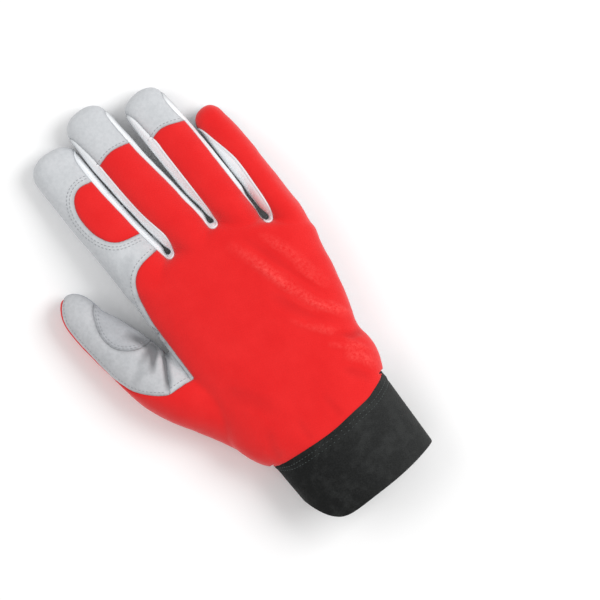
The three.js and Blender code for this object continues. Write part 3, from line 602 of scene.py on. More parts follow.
    def finger(self, finger: Finger) -> BMesh:
        """A finger from inside the palm to its tip, slimmed to stay clear of its neighbours when fused."""
        sections = [finger_section(finger, float(along)) for along in np.linspace(FINGER_ROOT, END_START, 34)]
        slim_left, slim_right = ((1 - self.slim) / 2 * (finger.name != outer)
                                 for outer in ("index", "little"))
        sections = [replace(s, left=s.left + slim_left * (s.right - s.left),
                            right=s.right - slim_right * (s.right - s.left)) for s in sections]
        reach = finger.root_y + finger.length - sections[-1].y
        return tube(self.rings(sections, self.finger_sides, reach, 0.85), capped=True)

    def thumb(self) -> BMesh:
        """The thumb from inside the palm to its tip."""
        sections = [self.thumb_section(float(along)) for along in np.linspace(0.0, END_START, 36)]
        reach = self.thumb_root + self.thumb_length - sections[-1].y
        return tube(self.rings(sections, self.finger_sides, reach, 1.0), capped=True)

    def build(self) -> BMesh:
        """Fuse the forms into one smooth skin and press its folds into it.

        Returns:
            The skin of the filled glove, in pattern coordinates.
        """
        whole = bmesh.new()
        scratch = bpy.data.meshes.new("hand_form")
        for part in (self.palm(), *(self.finger(f) for f in FINGERS.values()), self.thumb()):
            part.to_mesh(scratch)
            whole.from_mesh(scratch)
            part.free()
        whole.to_mesh(scratch)
        whole.free()
        form = put("hand_form", scratch)
        remesh = form.modifiers.new("fuse", "REMESH")
        remesh.mode = "VOXEL"
        remesh.voxel_size = self.voxel
        fused = bpy.data.meshes.new_from_object(form.evaluated_get(bpy.context.evaluated_depsgraph_get()))
        bpy.data.objects.remove(form)
        bpy.data.meshes.remove(scratch)
        bm = bmesh.new()
        bm.from_mesh(fused)
        bpy.data.meshes.remove(fused)
        for _ in range(self.smoothing):
            bmesh.ops.smooth_vert(bm, verts=bm.verts[:], factor=0.5, use_axis_x=True, use_axis_y=True,
                                  use_axis_z=True)
        self.fill_fingers(bm)
        self.press_folds(bm)
        return bm

    def fill_fingers(self, bm: BMesh) -> None:
        """Widen every finger to its real width again, from its web onwards."""
        shares = np.linspace(0.0, END_START, 30)
        middles = {name: [finger_section(finger, float(share)).centre for share in shares]
                   for name, finger in FINGERS.items()}
        for vert in bm.verts:
            near = min(FINGERS.values(), key=lambda f: abs(
                vert.co.x - np.interp((vert.co.y - f.root_y) / f.length, shares, middles[f.name])) / f.width)
            past = vert.co.y - near.root_y
            if past <= 0:
                continue
            middle = float(np.interp(past / near.length, shares, middles[near.name]))
            if near.name == ("index" if vert.co.x < middle else "little"):
                continue
            share = min(past / self.filling, 1.0)
            widen = 1 + (self.regain / self.slim - 1) * share * share * (3 - 2 * share)
            vert.co.x = middle + (vert.co.x - middle) * widen

    @staticmethod
    def press_folds(bm: BMesh) -> None:
        """Lift and press the skin where the real glove has ridges, creases and gathers."""
        places = np.array([v.co for v in bm.verts])
        bm.normal_update()
        normals = np.array([v.normal for v in bm.verts])
        back = sum(fold.rise(places) for fold in BACK_FOLDS)
        palm = sum(fold.rise(places) for fold in PALM_FOLDS)
        up, down = (np.clip(side * normals[:, 2] / 0.55, 0, 1) for side in (1, -1))
        # The fold's height is kept on the vertices: materials paint highlight on ridges and shade in creases
        # from it.
        height = bm.verts.layers.float.new("fold")
        for vert, fold in zip(bm.verts, back * up - palm * down):
            soft = 0.28 * noise.noise(vert.co / 13.0) + 0.1 * noise.noise(vert.co / 4.5)
            vert[height] = fold
            vert.co += vert.normal * (fold + soft)
            vert.co.z = max(vert.co.z, 0.02)


def height_line(x: np.ndarray, seam: Sequence[Point]) -> np.ndarray:
    """The place along y of a seam that crosses the hand, at each place across it."""
    line = np.array(smooth_path(seam, 6))
    return np.interp(x, line[:, 0], line[:, 1])


class GlovePattern:
    """Where each panel lies on the hand's form: a field is negative inside its panel."""

    side_margin = 0.6
    web_reach = 2.3
    web_rise = 1.1
    steep_draw = 0.6

    @staticmethod
    def wrist_waste(points: np.ndarray) -> np.ndarray:
        """What lies inside the cuff, past the wrist seam."""
        return points[:, 1] - height_line(points[:, 0], WRIST_SEAM)

    @staticmethod
    def palm(points: np.ndarray) -> np.ndarray:
        """Everything under the side seams, apart from the wrapped strip and the capped fingertips."""
        x, y, z = points.T
        rows = np.array(PALM_EDGE)
        along = (y - WRIST_Y) / PALM_LENGTH
        left, right = (np.interp(along, rows[:, 0], rows[:, c]) * KNUCKLE_HEIGHT for c in (1, 2))
        edge = left + (right - left) * (x + PALM_WIDTH) / (2 * PALM_WIDTH)
        outside = [(-160.0, 190.0), (-160.0, 20.0), (-19.0, 20.0)]
        strip = -plan_field(points, smooth_path(WRAP_SEAM) + [(-73.0, 190.0)] + outside)
        value = np.maximum(z - edge, strip)
        for name in CAP_SEAMS:
            finger = FINGERS[name]
            beside = (x > finger.centre - 0.75 * finger.width) & (x < finger.centre + 0.6 * finger.width)
            value = np.where(beside, np.maximum(value, y - finger.tip_end), value)
        return value

    def side_wall(self, finger: Finger, seam: Sequence[Point], side: float, web: float) -> Field:
        """One side of a finger: past its seam over the widest height, and past its middle under that.

        Args:
            finger: The finger.
            seam: The seam with the back of the finger, in plan.
            side: -1 for the side towards the thumb, 1 for the other one.
            web: Where the wall starts in the slot.

        Returns:
            The wall's field.
        """
        shares = np.linspace(0.0, 0.95, 39)
        sections = [finger_section(finger, min(float(share), END_START)) for share in shares]
        centre, widest = [s.centre for s in sections], [s.level for s in sections]
        reach = [s.half + self.side_margin for s in sections]
        line = np.array(smooth_path(seam, 6))

        def field_at(points: np.ndarray) -> np.ndarray:
            """Negative on the side wall."""
            x, y, z = points.T
            along = (y - finger.root_y) / finger.length
            beside = side * (np.interp(along, shares, centre) - x)
            past = side * (np.interp(y, line[:, 1], line[:, 0]) - x)
            near = np.abs(x - np.interp(along, shares, centre)) < np.interp(along, shares, reach)
            sided = np.where(z > np.interp(along, shares, widest), past, beside)
            return np.where(near, np.maximum.reduce([sided, web - y, y - finger.tip_end]), CLEAR)

        return field_at

    def fourchette(self, slot: str) -> Field:
        """The side walls between two fingers, joined round the web."""
        left, right = (FINGERS[name] for name in SLOTS[slot])
        web = WEB_Y - max(left.setback, right.setback)
        walls = [self.side_wall(finger, seam, side, web - 0.5)
                 for finger, seam, side in zip((left, right), SLOT_SEAMS[slot], (1.0, -1.0))]
        slot_x = right.centre - right.width / 2 - 0.5

        def field_at(points: np.ndarray) -> np.ndarray:
            """Negative on the side walls and round the web."""
            x, y, _ = points.T
            behind = np.minimum(y - web, 0.0) / self.web_rise
            crest = np.maximum(np.hypot(x - slot_x, behind) - self.web_reach, y - web - 5)
            return np.minimum.reduce([walls[0](points), walls[1](points), crest])

        return field_at

    def cap(self, name: str) -> Field:
        """The end of a finger past the seam of its cap."""
        tip = finger_section(FINGERS[name], 0.7)

        def field_at(points: np.ndarray) -> np.ndarray:
            """Negative past the seam."""
            x, y, _ = points.T
            near = np.abs(x - tip.centre) < tip.half + self.side_margin
            return np.where(near, height_line(x, CAP_SEAMS[name]) - y, CLEAR)

        return field_at

    def above(self, outline: Sequence[Point], low: float, upright: float = 0.0) -> Field:
        """What lies inside an outline of the plan and over a height.

        Args:
            outline: The outline in plan.
            low: The lowest place of the panel.
            upright: Under this height the outline draws in, so that it crosses a steep side at an angle.

        Returns:
            The panel's field.
        """
        def field_at(points: np.ndarray) -> np.ndarray:
            """Negative inside the outline and over the height."""
            drawn = self.steep_draw * np.maximum(upright - points[:, 2], 0.0)
            return np.maximum(plan_field(points, outline) + drawn, low - points[:, 2])

        return field_at

    def fields(self) -> dict[Panel, Field]:
        """The field of every panel that is cut, in order. The back panel is what is left."""
        thumb = (smooth_path(THUMB_BORDER) + [(-72.0, 190.0), (-56.0, 190.0), (-50.0, 155.0), (-46.0, 135.0)]
                 + smooth_path(THUMB_FOLD))
        index = smooth_path(INDEX_BORDER) + [(-14.0, 171.0), (-14.0, 180.0), (-17.5, 215.0), (-18.0, 260.0),
                                             (-60.0, 260.0), (-52.0, 180.0), (-50.0, 140.0), (-46.9, 128.8),
                                             (-46.5, 127.5), (-46.4, 104.5)]
        gusset = smooth_path(THUMB_FOLD) + [(-50.0, 105.2), (-44.7, 104.5), (-44.7, 131.0)]
        return {
            Panel.PALM: self.palm,
            **{Panel(slot): self.fourchette(slot) for slot in SLOTS},
            Panel.MIDDLE_CAP: self.cap("middle"),
            Panel.RING_CAP: self.cap("ring"),
            Panel.THUMB_INSERT: self.above(smooth_path(THUMB_INSERT_ARC), 5.0),
            Panel.THUMB: self.above(thumb, 11.0, 14.5),
            Panel.INDEX_INSERT: self.above(smooth_path(INDEX_INSERT_ARC), 5.0),
            Panel.INDEX: self.above(index, 4.0),
            Panel.GUSSET: self.above(gusset, 4.0),
        }


class PanelCutter:
    """Cuts the hand's skin into panels along the zero lines of their fields."""

    snap = 0.09

    def __init__(self, skin: BMesh) -> None:
        """Take the skin and give its faces a number for their panel: 0 isn't cut yet, -1 is waste."""
        self.skin = skin
        self.number = skin.faces.layers.int.new("panel")
        self.value = skin.verts.layers.float.new("field")

    def free_faces(self) -> list[BMFace]:
        """The faces that belong to no panel yet."""
        return [f for f in self.skin.faces if f[self.number] == 0]

    def cut(self, number: int, field_of: Field) -> int:
        """Cut one panel out of the faces that are still free.

        Args:
            number: The panel's number.
            field_of: The panel's field.

        Returns:
            How many faces the panel has.
        """
        bm = self.skin
        free = self.free_faces()
        verts = list({v for f in free for v in f.verts})
        values = field_of(np.array([v.co for v in verts]))
        values[np.abs(values) < self.snap] = 0.0
        for vert, value in zip(verts, values):
            vert[self.value] = value
        crossing = [e for e in {e for f in free for e in f.edges}
                    if e.verts[0][self.value] * e.verts[1][self.value] < 0]
        cut_verts = [v for v, value in zip(verts, values) if value == 0]
        for edge in crossing:
            start, end = edge.verts
            share = start[self.value] / (start[self.value] - end[self.value])
            _, fresh = bmesh.utils.edge_split(edge, start, share)
            fresh[self.value] = 0.0
            cut_verts.append(fresh)
        taken = [f for f in bm.faces if f[self.number] != 0]
        bmesh.ops.connect_verts(bm, verts=cut_verts, faces_exclude=taken, check_degenerate=False)
        free = self.free_faces()
        inside = field_of(np.array([f.calc_center_median() for f in free])) < 0
        for face, is_inside in zip(free, inside):
            if is_inside:
                face[self.number] = number
        return int(inside.sum())


@dataclass(frozen=True)
class SeamShape:
    """How the panels dip where they are sewn together."""

    reach: float = 2.3
    depth: float = 0.6
    wrist_reach: float = 3.0
    wrist_depth: float = 0.3
    shade_reach: float = 6.0

    def press(self, skin: BMesh, number: bmesh.types.BMLayerItem) -> None:
        """Pull the skin in beside every seam and note each vertex's distance to its nearest seam.

        Args:
            skin: The skin, cut into panels.
            number: The face layer that holds the panel's number.
        """
        seam = [e for e in skin.edges if len(e.link_faces) == 1
                or (len(e.link_faces) == 2 and e.link_faces[0][number] != e.link_faces[1][number])]
        wrist = [e for e in seam if len(e.link_faces) == 1]
        near_seam = self.tree([e for e in seam if len(e.link_faces) == 2])
        near_wrist = self.tree(wrist)
        # The distance to the seam is kept on the vertices for the painted shade beside seams.
        distance = skin.verts.layers.float.new("seam")
        skin.normal_update()
        moves: list[tuple[BMVert, Vector]] = []
        for vert in skin.verts:
            gap = near_seam.find(vert.co)[2]
            wrist_gap = near_wrist.find(vert.co)[2]
            dip = self.depth * max(0.0, 1 - gap / self.reach) ** 2
            dip += self.wrist_depth * max(0.0, 1 - wrist_gap / self.wrist_reach) ** 2
            vert[distance] = min(gap, wrist_gap, self.shade_reach) / self.shade_reach
            moves.append((vert, vert.normal * -dip))
        for vert, move in moves:
            vert.co += move

    @staticmethod
    def tree(edges: Sequence[BMEdge]) -> KDTree:
        """A search tree of the ends and middles of edges."""
        places = [v.co.copy() for e in edges for v in e.verts]
        places += [(e.verts[0].co + e.verts[1].co) / 2 for e in edges]
        found = KDTree(len(places))
        for i, place in enumerate(places):
            found.insert(place, i)
        found.balance()
        return found


def srgb(red: float, green: float, blue: float) -> Colour:
    """A colour as it is seen, from 0 to 255, in the linear values that shaders use."""
    return tuple((c / 255 / 12.92) if c / 255 <= 0.04045 else ((c / 255 + 0.055) / 1.055) ** 2.4
                 for c in (red, green, blue))


class Graph:
    """The node tree of a material or group, with short ways to add and link nodes."""

    def __init__(self, tree: bpy.types.NodeTree) -> None:
        """Keep the tree."""
        self.tree = tree

    def add(self, kind: str, values: dict[str, object] | None = None, **settings: object) -> bpy.types.Node:
        """Add a node.

        Args:
            kind: The node's type.
            values: Input values by the socket's name, or sockets to link there.
            **settings: Settings of the node itself.

        Returns:
            The node.
        """
        node = self.tree.nodes.new(kind)
        for name, setting in settings.items():
            setattr(node, name, setting)
        for name, value in (values or {}).items():
            self.feed(node.inputs[name], value)
        return node

    def feed(self, socket: bpy.types.NodeSocket, value: object) -> None:
        """Set a socket's value, or link another socket to it."""
        if isinstance(value, bpy.types.NodeSocket):
            self.tree.links.new(value, socket)
        elif isinstance(value, tuple) and len(value) == 3 and socket.type == "RGBA":
            socket.default_value = (*value, 1.0)
        else:
            socket.default_value = value

    def place(self) -> bpy.types.NodeSocket:
        """The place on the piece, in its own coordinates."""
        return self.add("ShaderNodeTexCoord").outputs["Object"]

    def along(self, axis: str) -> bpy.types.NodeSocket:
        """One coordinate of the place on the piece."""
        return self.add("ShaderNodeSeparateXYZ", {"Vector": self.place()}).outputs[axis]

    def maths(self, operation: str, first: object, second: object = 0.0) -> bpy.types.NodeSocket:
        """The result of a sum on two values."""
        node = self.add("ShaderNodeMath", operation=operation)
        self.feed(node.inputs[0], first)
        self.feed(node.inputs[1], second)
        return node.outputs[0]

    def times(self, first: object, second: object) -> bpy.types.NodeSocket:
        """The product of two values."""
        return self.maths("MULTIPLY", first, second)

    def plus(self, first: object, second: object) -> bpy.types.NodeSocket:
        """The sum of two values."""
        return self.maths("ADD", first, second)

    def mixed(self, share: object, first: object, second: object) -> bpy.types.NodeSocket:
        """A colour between two, by a share."""
        node = self.add("ShaderNodeMix", data_type="RGBA")
        for number, value in ((0, share), (6, first), (7, second)):
            self.feed(node.inputs[number], value)
        return node.outputs[2]

    def ranged(self, value: object, low: float, high: float, start: float = 0.0, end: float = 1.0) -> object:
        """A value moved from one range to another, held at both ends."""
        limits = {"From Min": low, "From Max": high, "To Min": start, "To Max": end}
        return self.add("ShaderNodeMapRange", {"Value": value, **limits}).outputs["Result"]

    def noise(self, place: object, scale: object, detail: float, rough: float = 0.55) -> object:
        """The value of a noise at a scale."""
        values = {"Vector": place, "Scale": scale, "Detail": detail, "Roughness": rough}
        return self.add("ShaderNodeTexNoise", values).outputs["Fac"]

    def attribute(self, name: str) -> bpy.types.NodeSocket:
        """A number that the piece's own vertices carry."""
        return self.add("ShaderNodeAttribute", attribute_name=name).outputs["Fac"]

    def group(self, tree: bpy.types.NodeTree, **values: float) -> object:
        """Use a shared group with values for its inputs, and give its outputs."""
        named = {name.replace("_", " ").title(): value for name, value in values.items()}
        return self.add("ShaderNodeGroup", named, node_tree=tree).outputs


def open_group(name: str, inputs: dict[str, float]) -> tuple[Graph, object]:
    """Start a shader group with float inputs.

    Args:
        name: The group's name.
        inputs: Its inputs and their values when nothing else is given.

    Returns:
        The graph that fills the group, and the sockets of its inputs.
    """
    tree = bpy.data.node_groups.new(name, "ShaderNodeTree")
    for socket, value in inputs.items():
        tree.interface.new_socket(socket, in_out="INPUT", socket_type="NodeSocketFloat").default_value = value
    graph = Graph(tree)
    return graph, graph.add("NodeGroupInput").outputs


def closed_group(graph: Graph, outputs: dict[str, bpy.types.NodeSocket]) -> bpy.types.NodeTree:
    """Give a shader group its float outputs and return it."""
    for name in outputs:
        graph.tree.interface.new_socket(name, in_out="OUTPUT", socket_type="NodeSocketFloat")
    graph.add("NodeGroupOutput", outputs)
    return graph.tree


class Surfaces:
    """The shared shader groups: woven threads, leather's grain, and the painted shade and highlight of seams
    and folds.
    """

    def __init__(self) -> None:
        """Build every group once."""
        self.weave = self.make_weave()
        self.grain = self.make_grain()
        self.seams = self.make_seams()
        self.folds = self.make_folds()

    @staticmethod
    def make_weave() -> bpy.types.NodeTree:
        """Threads that cross each other, and the soft mottle of worn cloth."""
        graph, inputs = open_group("crossed_threads", {"Threads": 900.0, "Mottle Scale": 60.0})
        place = graph.place()
        x, y, z = graph.add("ShaderNodeSeparateXYZ", {"Vector": place}).outputs
        ways = graph.plus(x, graph.times(z, 0.6)), graph.plus(y, graph.times(z, 0.45))
        waves = [graph.maths("SINE", graph.times(graph.times(way, inputs["Threads"]), 2 * math.pi))
                 for way in ways]
        fibre = graph.noise(place, graph.times(inputs["Threads"], 1.6), 4.0, 0.65)
        crossed = graph.times(graph.ranged(graph.times(*waves), -1, 1), 0.5)
        return closed_group(graph, {"Height": graph.plus(crossed, graph.times(fibre, 0.9)), "Fibre": fibre,
                                    "Mottle": graph.noise(place, inputs["Mottle Scale"], 5.0, 0.6)})

    @staticmethod
    def make_grain() -> bpy.types.NodeTree:
        """The nap and pores of leather: fine grain, broad mottle and small specks."""
        graph, inputs = open_group("leather_grain", {"Grain Scale": 900.0, "Mottle Scale": 90.0})
        place, scale = graph.place(), inputs["Grain Scale"]
        cells = graph.add("ShaderNodeTexVoronoi", {"Vector": place, "Scale": graph.times(scale, 0.55)},
                          feature="F1").outputs["Distance"]
        fine = graph.times(graph.noise(place, scale, 5.0, 0.7), 0.7)
        specks = graph.ranged(graph.noise(place, graph.times(scale, 0.45), 3.0, 0.6), 0.36, 0.6)
        return closed_group(graph, {"Height": graph.plus(fine, graph.times(cells, 0.35)), "Specks": specks,
                                    "Mottle": graph.noise(place, inputs["Mottle Scale"], 6.0, 0.65)})

    @staticmethod
    def make_seams() -> bpy.types.NodeTree:
        """The painted shade beside a seam, from the pieces' own distance to it."""
        graph, inputs = open_group("seam_shade", {"Reach": 0.3})
        broken = graph.ranged(graph.noise(graph.place(), 350.0, 2.0), 0.3, 0.7, 0.75, 1.25)
        near = graph.maths("DIVIDE", graph.times(graph.attribute("seam"), broken), inputs["Reach"])
        return closed_group(graph, {"Shade": graph.ranged(near, 0.0, 1.0, 1.0, 0.0)})

    @staticmethod
    def make_folds() -> bpy.types.NodeTree:
        """Painted highlight on ridges and painted shade in creases, from the pieces' own height of their
        folds.
        """
        graph, inputs = open_group("fold_painted_light", {"Height": 1.0})
        ridge_highlight = graph.ranged(graph.noise(graph.place(), 600.0, 4.0, 0.7), 0.35, 0.65)
        raised = graph.maths("DIVIDE", graph.attribute("fold"), inputs["Height"])
        return closed_group(graph, {"Ridge": graph.times(graph.ranged(raised, 0.1, 1.0), ridge_highlight),
                                    "Crease": graph.ranged(raised, -0.1, -1.0)})


def shader(name: str) -> tuple[bpy.types.Material, Graph, bpy.types.Node]:
    """Start a material and return it with its graph and its main shader."""
    material = bpy.data.materials.new(name)
    material.use_nodes = True
    return material, Graph(material.node_tree), material.node_tree.nodes["Principled BSDF"]


@dataclass(frozen=True)
class Finish:
    """What cloth and leather share: colours, mottle, gloss, relief, and how strong the painted shade beside
    seams and in creases is.
    """

    name: str
    colour: Colour
    faded_and_lit: Colour
    shaded: Colour
    mottle_scale: float = 90.0
    mottle: tuple[float, float] = (0.3, 0.72)
    roughness: float = 0.7
    uneven: float = 0.08
    sheen: float = 0.1
    specular: float = 0.3
    relief: float = 0.00012
    seam_shade: float = 0.4
    crease: float = 0.75

    def set_surface(self, graph: Graph, main: bpy.types.Node, height: object, gloss: object) -> None:
        """Give the shader its relief, gloss and sheen.

        Args:
            graph: The material's graph.
            main: The material's main shader.
            height: The relief's height.
            gloss: A noise by which the roughness varies.
        """
        bump = graph.add("ShaderNodeBump", {"Height": height, "Distance": self.relief})
        graph.feed(main.inputs["Normal"], bump.outputs["Normal"])
        limits = self.roughness - self.uneven, self.roughness + self.uneven
        graph.feed(main.inputs["Roughness"], graph.ranged(gloss, 0.3, 0.7, *limits))
        main.inputs["Sheen Weight"].default_value = self.sheen
        main.inputs["Specular IOR Level"].default_value = self.specular


@dataclass(frozen=True)
class ClothFinish(Finish):
    """A woven or knitted cloth, with its threads to the metre, the colour of the painted highlight on its
    ridges, and where painted light makes it lighter along x.
    """

    threads: float = 900.0
    mottle_scale: float = 55.0
    mottle: tuple[float, float] = (0.35, 0.7)
    roughness: float = 0.88
    uneven: float = 0.06
    sheen: float = 0.25
    specular: float = 0.25
    seam_shade: float = 0.5
    crease: float = 0.4
    ridge_highlight: Colour = srgb(255, 96, 90)
    ridge_highlight_share: float = 0.5
    # Painted light: where given, the cloth grows lighter along object x over this range.
    painted_light_across: tuple[float, float] | None = None

    def material(self, surfaces: Surfaces) -> bpy.types.Material:
        """Make the finish's material."""
        material, graph, main = shader(self.name)
        weave = graph.group(surfaces.weave, threads=self.threads, mottle_scale=self.mottle_scale)
        folds = graph.group(surfaces.folds)
        tone = graph.ranged(weave["Mottle"], *self.mottle)
        # Painted light: lighter along object x.
        if self.painted_light_across:
            tone = graph.plus(tone, graph.ranged(graph.along("X"), *self.painted_light_across))
        tone = graph.plus(tone, graph.ranged(weave["Fibre"], 0.35, 0.7, -0.25, 0.25))
        base = graph.mixed(tone, self.colour, self.faded_and_lit)
        # Painted highlight on ridges, then painted shade in creases and beside seams.
        base = graph.mixed(graph.times(folds["Ridge"], self.ridge_highlight_share), base, self.ridge_highlight)
        base = graph.mixed(graph.times(folds["Crease"], self.crease), base, self.shaded)
        dark = graph.times(graph.group(surfaces.seams)["Shade"], self.seam_shade)
        graph.feed(main.inputs["Base Color"], graph.mixed(dark, base, self.shaded))
        self.set_surface(graph, main, weave["Height"], weave["Fibre"])
        return material


@dataclass(frozen=True)
class LeatherFinish(Finish):
    """A leather or suede, with the size of its grain, how strongly it is specked, and the heights under which
    it gets painted shade.
    """

    grain_scale: float = 1100.0
    speck: float = 0.12
    # Painted shade: the colour darkens to its shaded colour below the first height and is full above the
    # second.
    lit_above: tuple[float, float] | None = None

    def material(self, surfaces: Surfaces) -> bpy.types.Material:
        """Make the finish's material."""
        material, graph, main = shader(self.name)
        grain = graph.group(surfaces.grain, grain_scale=self.grain_scale, mottle_scale=self.mottle_scale)
        base = graph.mixed(graph.ranged(grain["Mottle"], *self.mottle), self.faded_and_lit, self.colour)
        specks = graph.times(graph.maths("SUBTRACT", 1.0, grain["Specks"]), self.speck)
        base = graph.mixed(specks, base, self.shaded)
        # Painted shade: darker towards the foot.
        if self.lit_above:
            base = graph.mixed(graph.ranged(graph.along("Z"), *self.lit_above), self.shaded, base)
        # Painted shade beside seams and in creases.
        seam = graph.times(graph.group(surfaces.seams)["Shade"], self.seam_shade)
        crease = graph.times(graph.group(surfaces.folds)["Crease"], self.crease)
        dark = graph.maths("MAXIMUM", seam, crease)
        graph.feed(main.inputs["Base Color"], graph.mixed(dark, base, self.shaded))
        self.set_surface(graph, main, grain["Height"], grain["Mottle"])
        return material


def make_finishes() -> Materials:
    """Build every material of the glove once."""
    surfaces = Surfaces()
    # Darker painted shade on the thumb, in its creases and beside its seams.
    thumb = dict(shaded=srgb(100, 102, 105), seam_shade=0.3, crease=0.85)
    thread = dict(threads=2500.0, sheen=0.1)
    looks = (
        ClothFinish("red_stretch_cloth", srgb(220, 22, 23), srgb(226, 30, 30), srgb(170, 14, 20),
                    seam_shade=0.15),
        LeatherFinish("light_leather", srgb(203, 205, 208), srgb(194, 197, 200), srgb(128, 132, 137)),
        # The thumb's light leather, painted darker as shade.
        LeatherFinish("thumb_leather_shaded", srgb(193, 194, 197), srgb(182, 184, 187), **thumb),
        LeatherFinish("grey_suede", srgb(184, 188, 195), srgb(170, 174, 182), srgb(110, 115, 124),
                      grain_scale=1400.0, mottle_scale=130.0, speck=0.35, roughness=0.92, sheen=0.3,
                      relief=0.0003),
        LeatherFinish("thumb_suede", srgb(181, 183, 187), srgb(168, 170, 174), grain_scale=1400.0,
                      roughness=0.9, sheen=0.2, **thumb),
        # The slot walls: painted shade towards their foot, from 15.5 mm down to 7 mm.
        LeatherFinish("side_wall_leather", srgb(243, 245, 247), srgb(236, 239, 242), srgb(62, 66, 70),
                      speck=0.0, relief=0.00002, seam_shade=0.0, lit_above=(0.007, 0.0155)),
        # The cuff cloth is painted lighter towards the little finger's side: painted light.
        ClothFinish("charcoal_cuff_cloth", srgb(20, 22, 21), srgb(84, 86, 85), srgb(10, 11, 11),
                    threads=800.0, mottle_scale=140.0, mottle=(0.45, 0.95), sheen=0.04, roughness=0.95,
                    relief=0.00025, seam_shade=0.7, painted_light_across=(-0.02, 0.06)),
        ClothFinish("black_strap_cloth", srgb(40, 42, 40), srgb(50, 52, 49), srgb(14, 15, 15), threads=1100.0,
                    roughness=0.8, sheen=0.1, relief=0.0001),
        LeatherFinish("black_strap_edge", srgb(30, 31, 31), srgb(40, 41, 41), srgb(10, 10, 10),
                      roughness=0.45, relief=0.00008, speck=0.1),
        ClothFinish("white_piping", srgb(232, 235, 238), srgb(222, 226, 230), srgb(170, 176, 182), sheen=0.1,
                    threads=1500.0, relief=0.00008, seam_shade=0.0),
        ClothFinish("grey_thread", srgb(158, 160, 164), srgb(170, 173, 177), srgb(118, 120, 124),
                    seam_shade=0.2, **thread),
        ClothFinish("black_thread", srgb(26, 30, 29), srgb(40, 46, 45), srgb(10, 10, 10),
                    seam_shade=0.0, **thread),
        ClothFinish("cuff_thread", srgb(64, 72, 71), srgb(80, 86, 85), srgb(20, 22, 22),
                    seam_shade=0.0, **thread),
    )
    return {look.name: look.material(surfaces) for look in looks}


def finished(name: str, bm: BMesh, material: bpy.types.Material, nodes: Sequence[str]) -> bpy.types.Object:
    """Make a piece of the glove from its mesh and fix it to the frame.

    Args:
        name: The piece's name.
        bm: Its mesh in pattern coordinates, which is freed.
        material: Its finish.
        nodes: The frame's nodes that it stands for.

    Returns:
        The piece.
    """
    bm.transform(TO_FRAME)
    for face in bm.faces:
        face.smooth = True
    mesh = bpy.data.meshes.new(name)
    bm.to_mesh(mesh)
    bm.free()
    mesh.materials.append(material)
    piece = put(name, mesh)
    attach(piece, "root")
    if nodes:
        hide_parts(*nodes)
    log.info("%s: %d faces", name, len(mesh.polygons))
    return piece


def walled(piece: bpy.types.Object, thickness: float) -> bpy.types.Object:
    """Give a piece's skin its thickness, inwards."""
    wall = piece.modifiers.new("wall", "SOLIDIFY")
    wall.thickness = thickness * MM
    wall.offset = -1.0
    wall.use_rim = True
    return piece


@dataclass
class GlovePanels:
    """The sewn panels: the hand's form cut along its seams, each panel with its own finish."""

    form: HandForm
    seams: SeamShape = SeamShape()
    wall: float = 1.3
    finishes: dict[Panel, tuple[str, str]] = field(default_factory=lambda: {
        Panel.PALM: ("grey_suede", "palm_suede"),
        **{Panel(slot): ("side_wall_leather", "side_wall_leather") for slot in SLOTS},
        Panel.MIDDLE_CAP: ("light_leather", "middle_cap_leather"),
        Panel.RING_CAP: ("light_leather", "ring_cap_leather"),
        Panel.THUMB_INSERT: ("thumb_suede", "thumb_suede"),
        Panel.THUMB: ("thumb_leather_shaded", "thumb_light_leather"),
        Panel.INDEX_INSERT: ("red_stretch_cloth", "red_insert"),
        Panel.INDEX: ("light_leather", "index_light_leather"),
        Panel.GUSSET: ("light_leather", "gusset_light_leather"),
        Panel.BACK: ("red_stretch_cloth", "red_cloth"),
    })

    def build(self) -> tuple[BMesh, dict[Panel, int], bmesh.types.BMLayerItem]:
        """Cut the skin into panels and press its seams.

        Returns:
            The skin, the panels' numbers, and the face layer that holds them.
        """
        skin = self.form.build()
        pattern = GlovePattern()
        cutter = PanelCutter(skin)
        cutter.cut(-1, pattern.wrist_waste)
        numbers = {panel: i + 1 for i, panel in enumerate(Panel)}
        for panel, field_of in pattern.fields().items():
            log.info("cut %s: %d faces", panel.value, cutter.cut(numbers[panel], field_of))
        for face in cutter.free_faces():
            face[cutter.number] = numbers[Panel.BACK]
        waste = [f for f in skin.faces if f[cutter.number] == -1]
        bmesh.ops.delete(skin, geom=waste, context="FACES")
        self.seams.press(skin, cutter.number)
        return skin, numbers, cutter.number

    def dress(self, skin: BMesh, numbers: dict[Panel, int], finishes: Materials) -> None:
        """Make each panel a piece of its own."""
        for panel, (finish, slot) in self.finishes.items():
            part = skin.copy()
            layer = part.faces.layers.int["panel"]
            others = [f for f in part.faces if f[layer] != numbers[panel]]
            bmesh.ops.delete(part, geom=others, context="FACES")
            piece = finished(f"{panel.value}_skin", part, finishes[finish], [panel.value])
            walled(piece, self.wall)


def chains(edges: Iterable[BMEdge]) -> list[list[BMVert]]:
    """Join edges into runs of vertices, each as long as it goes."""
    links: dict[BMVert, list[BMVert]] = {}
    for edge in edges:
        start, end = edge.verts
        links.setdefault(start, []).append(end)
        links.setdefault(end, []).append(start)
    starts = [v for v, near in links.items() if len(near) != 2] + list(links)
    used: set[frozenset[BMVert]] = set()
    runs: list[list[BMVert]] = []
    for start in starts:
        for first in links[start]:
            if frozenset((start, first)) in used:
                continue
            run = [start, first]
            used.add(frozenset((start, first)))
            while len(links[run[-1]]) == 2:
                onward = [v for v in links[run[-1]] if frozenset((run[-1], v)) not in used]
                if not onward:
                    break
                used.add(frozenset((run[-1], onward[0])))
                run.append(onward[0])
            runs.append(run)
    return runs


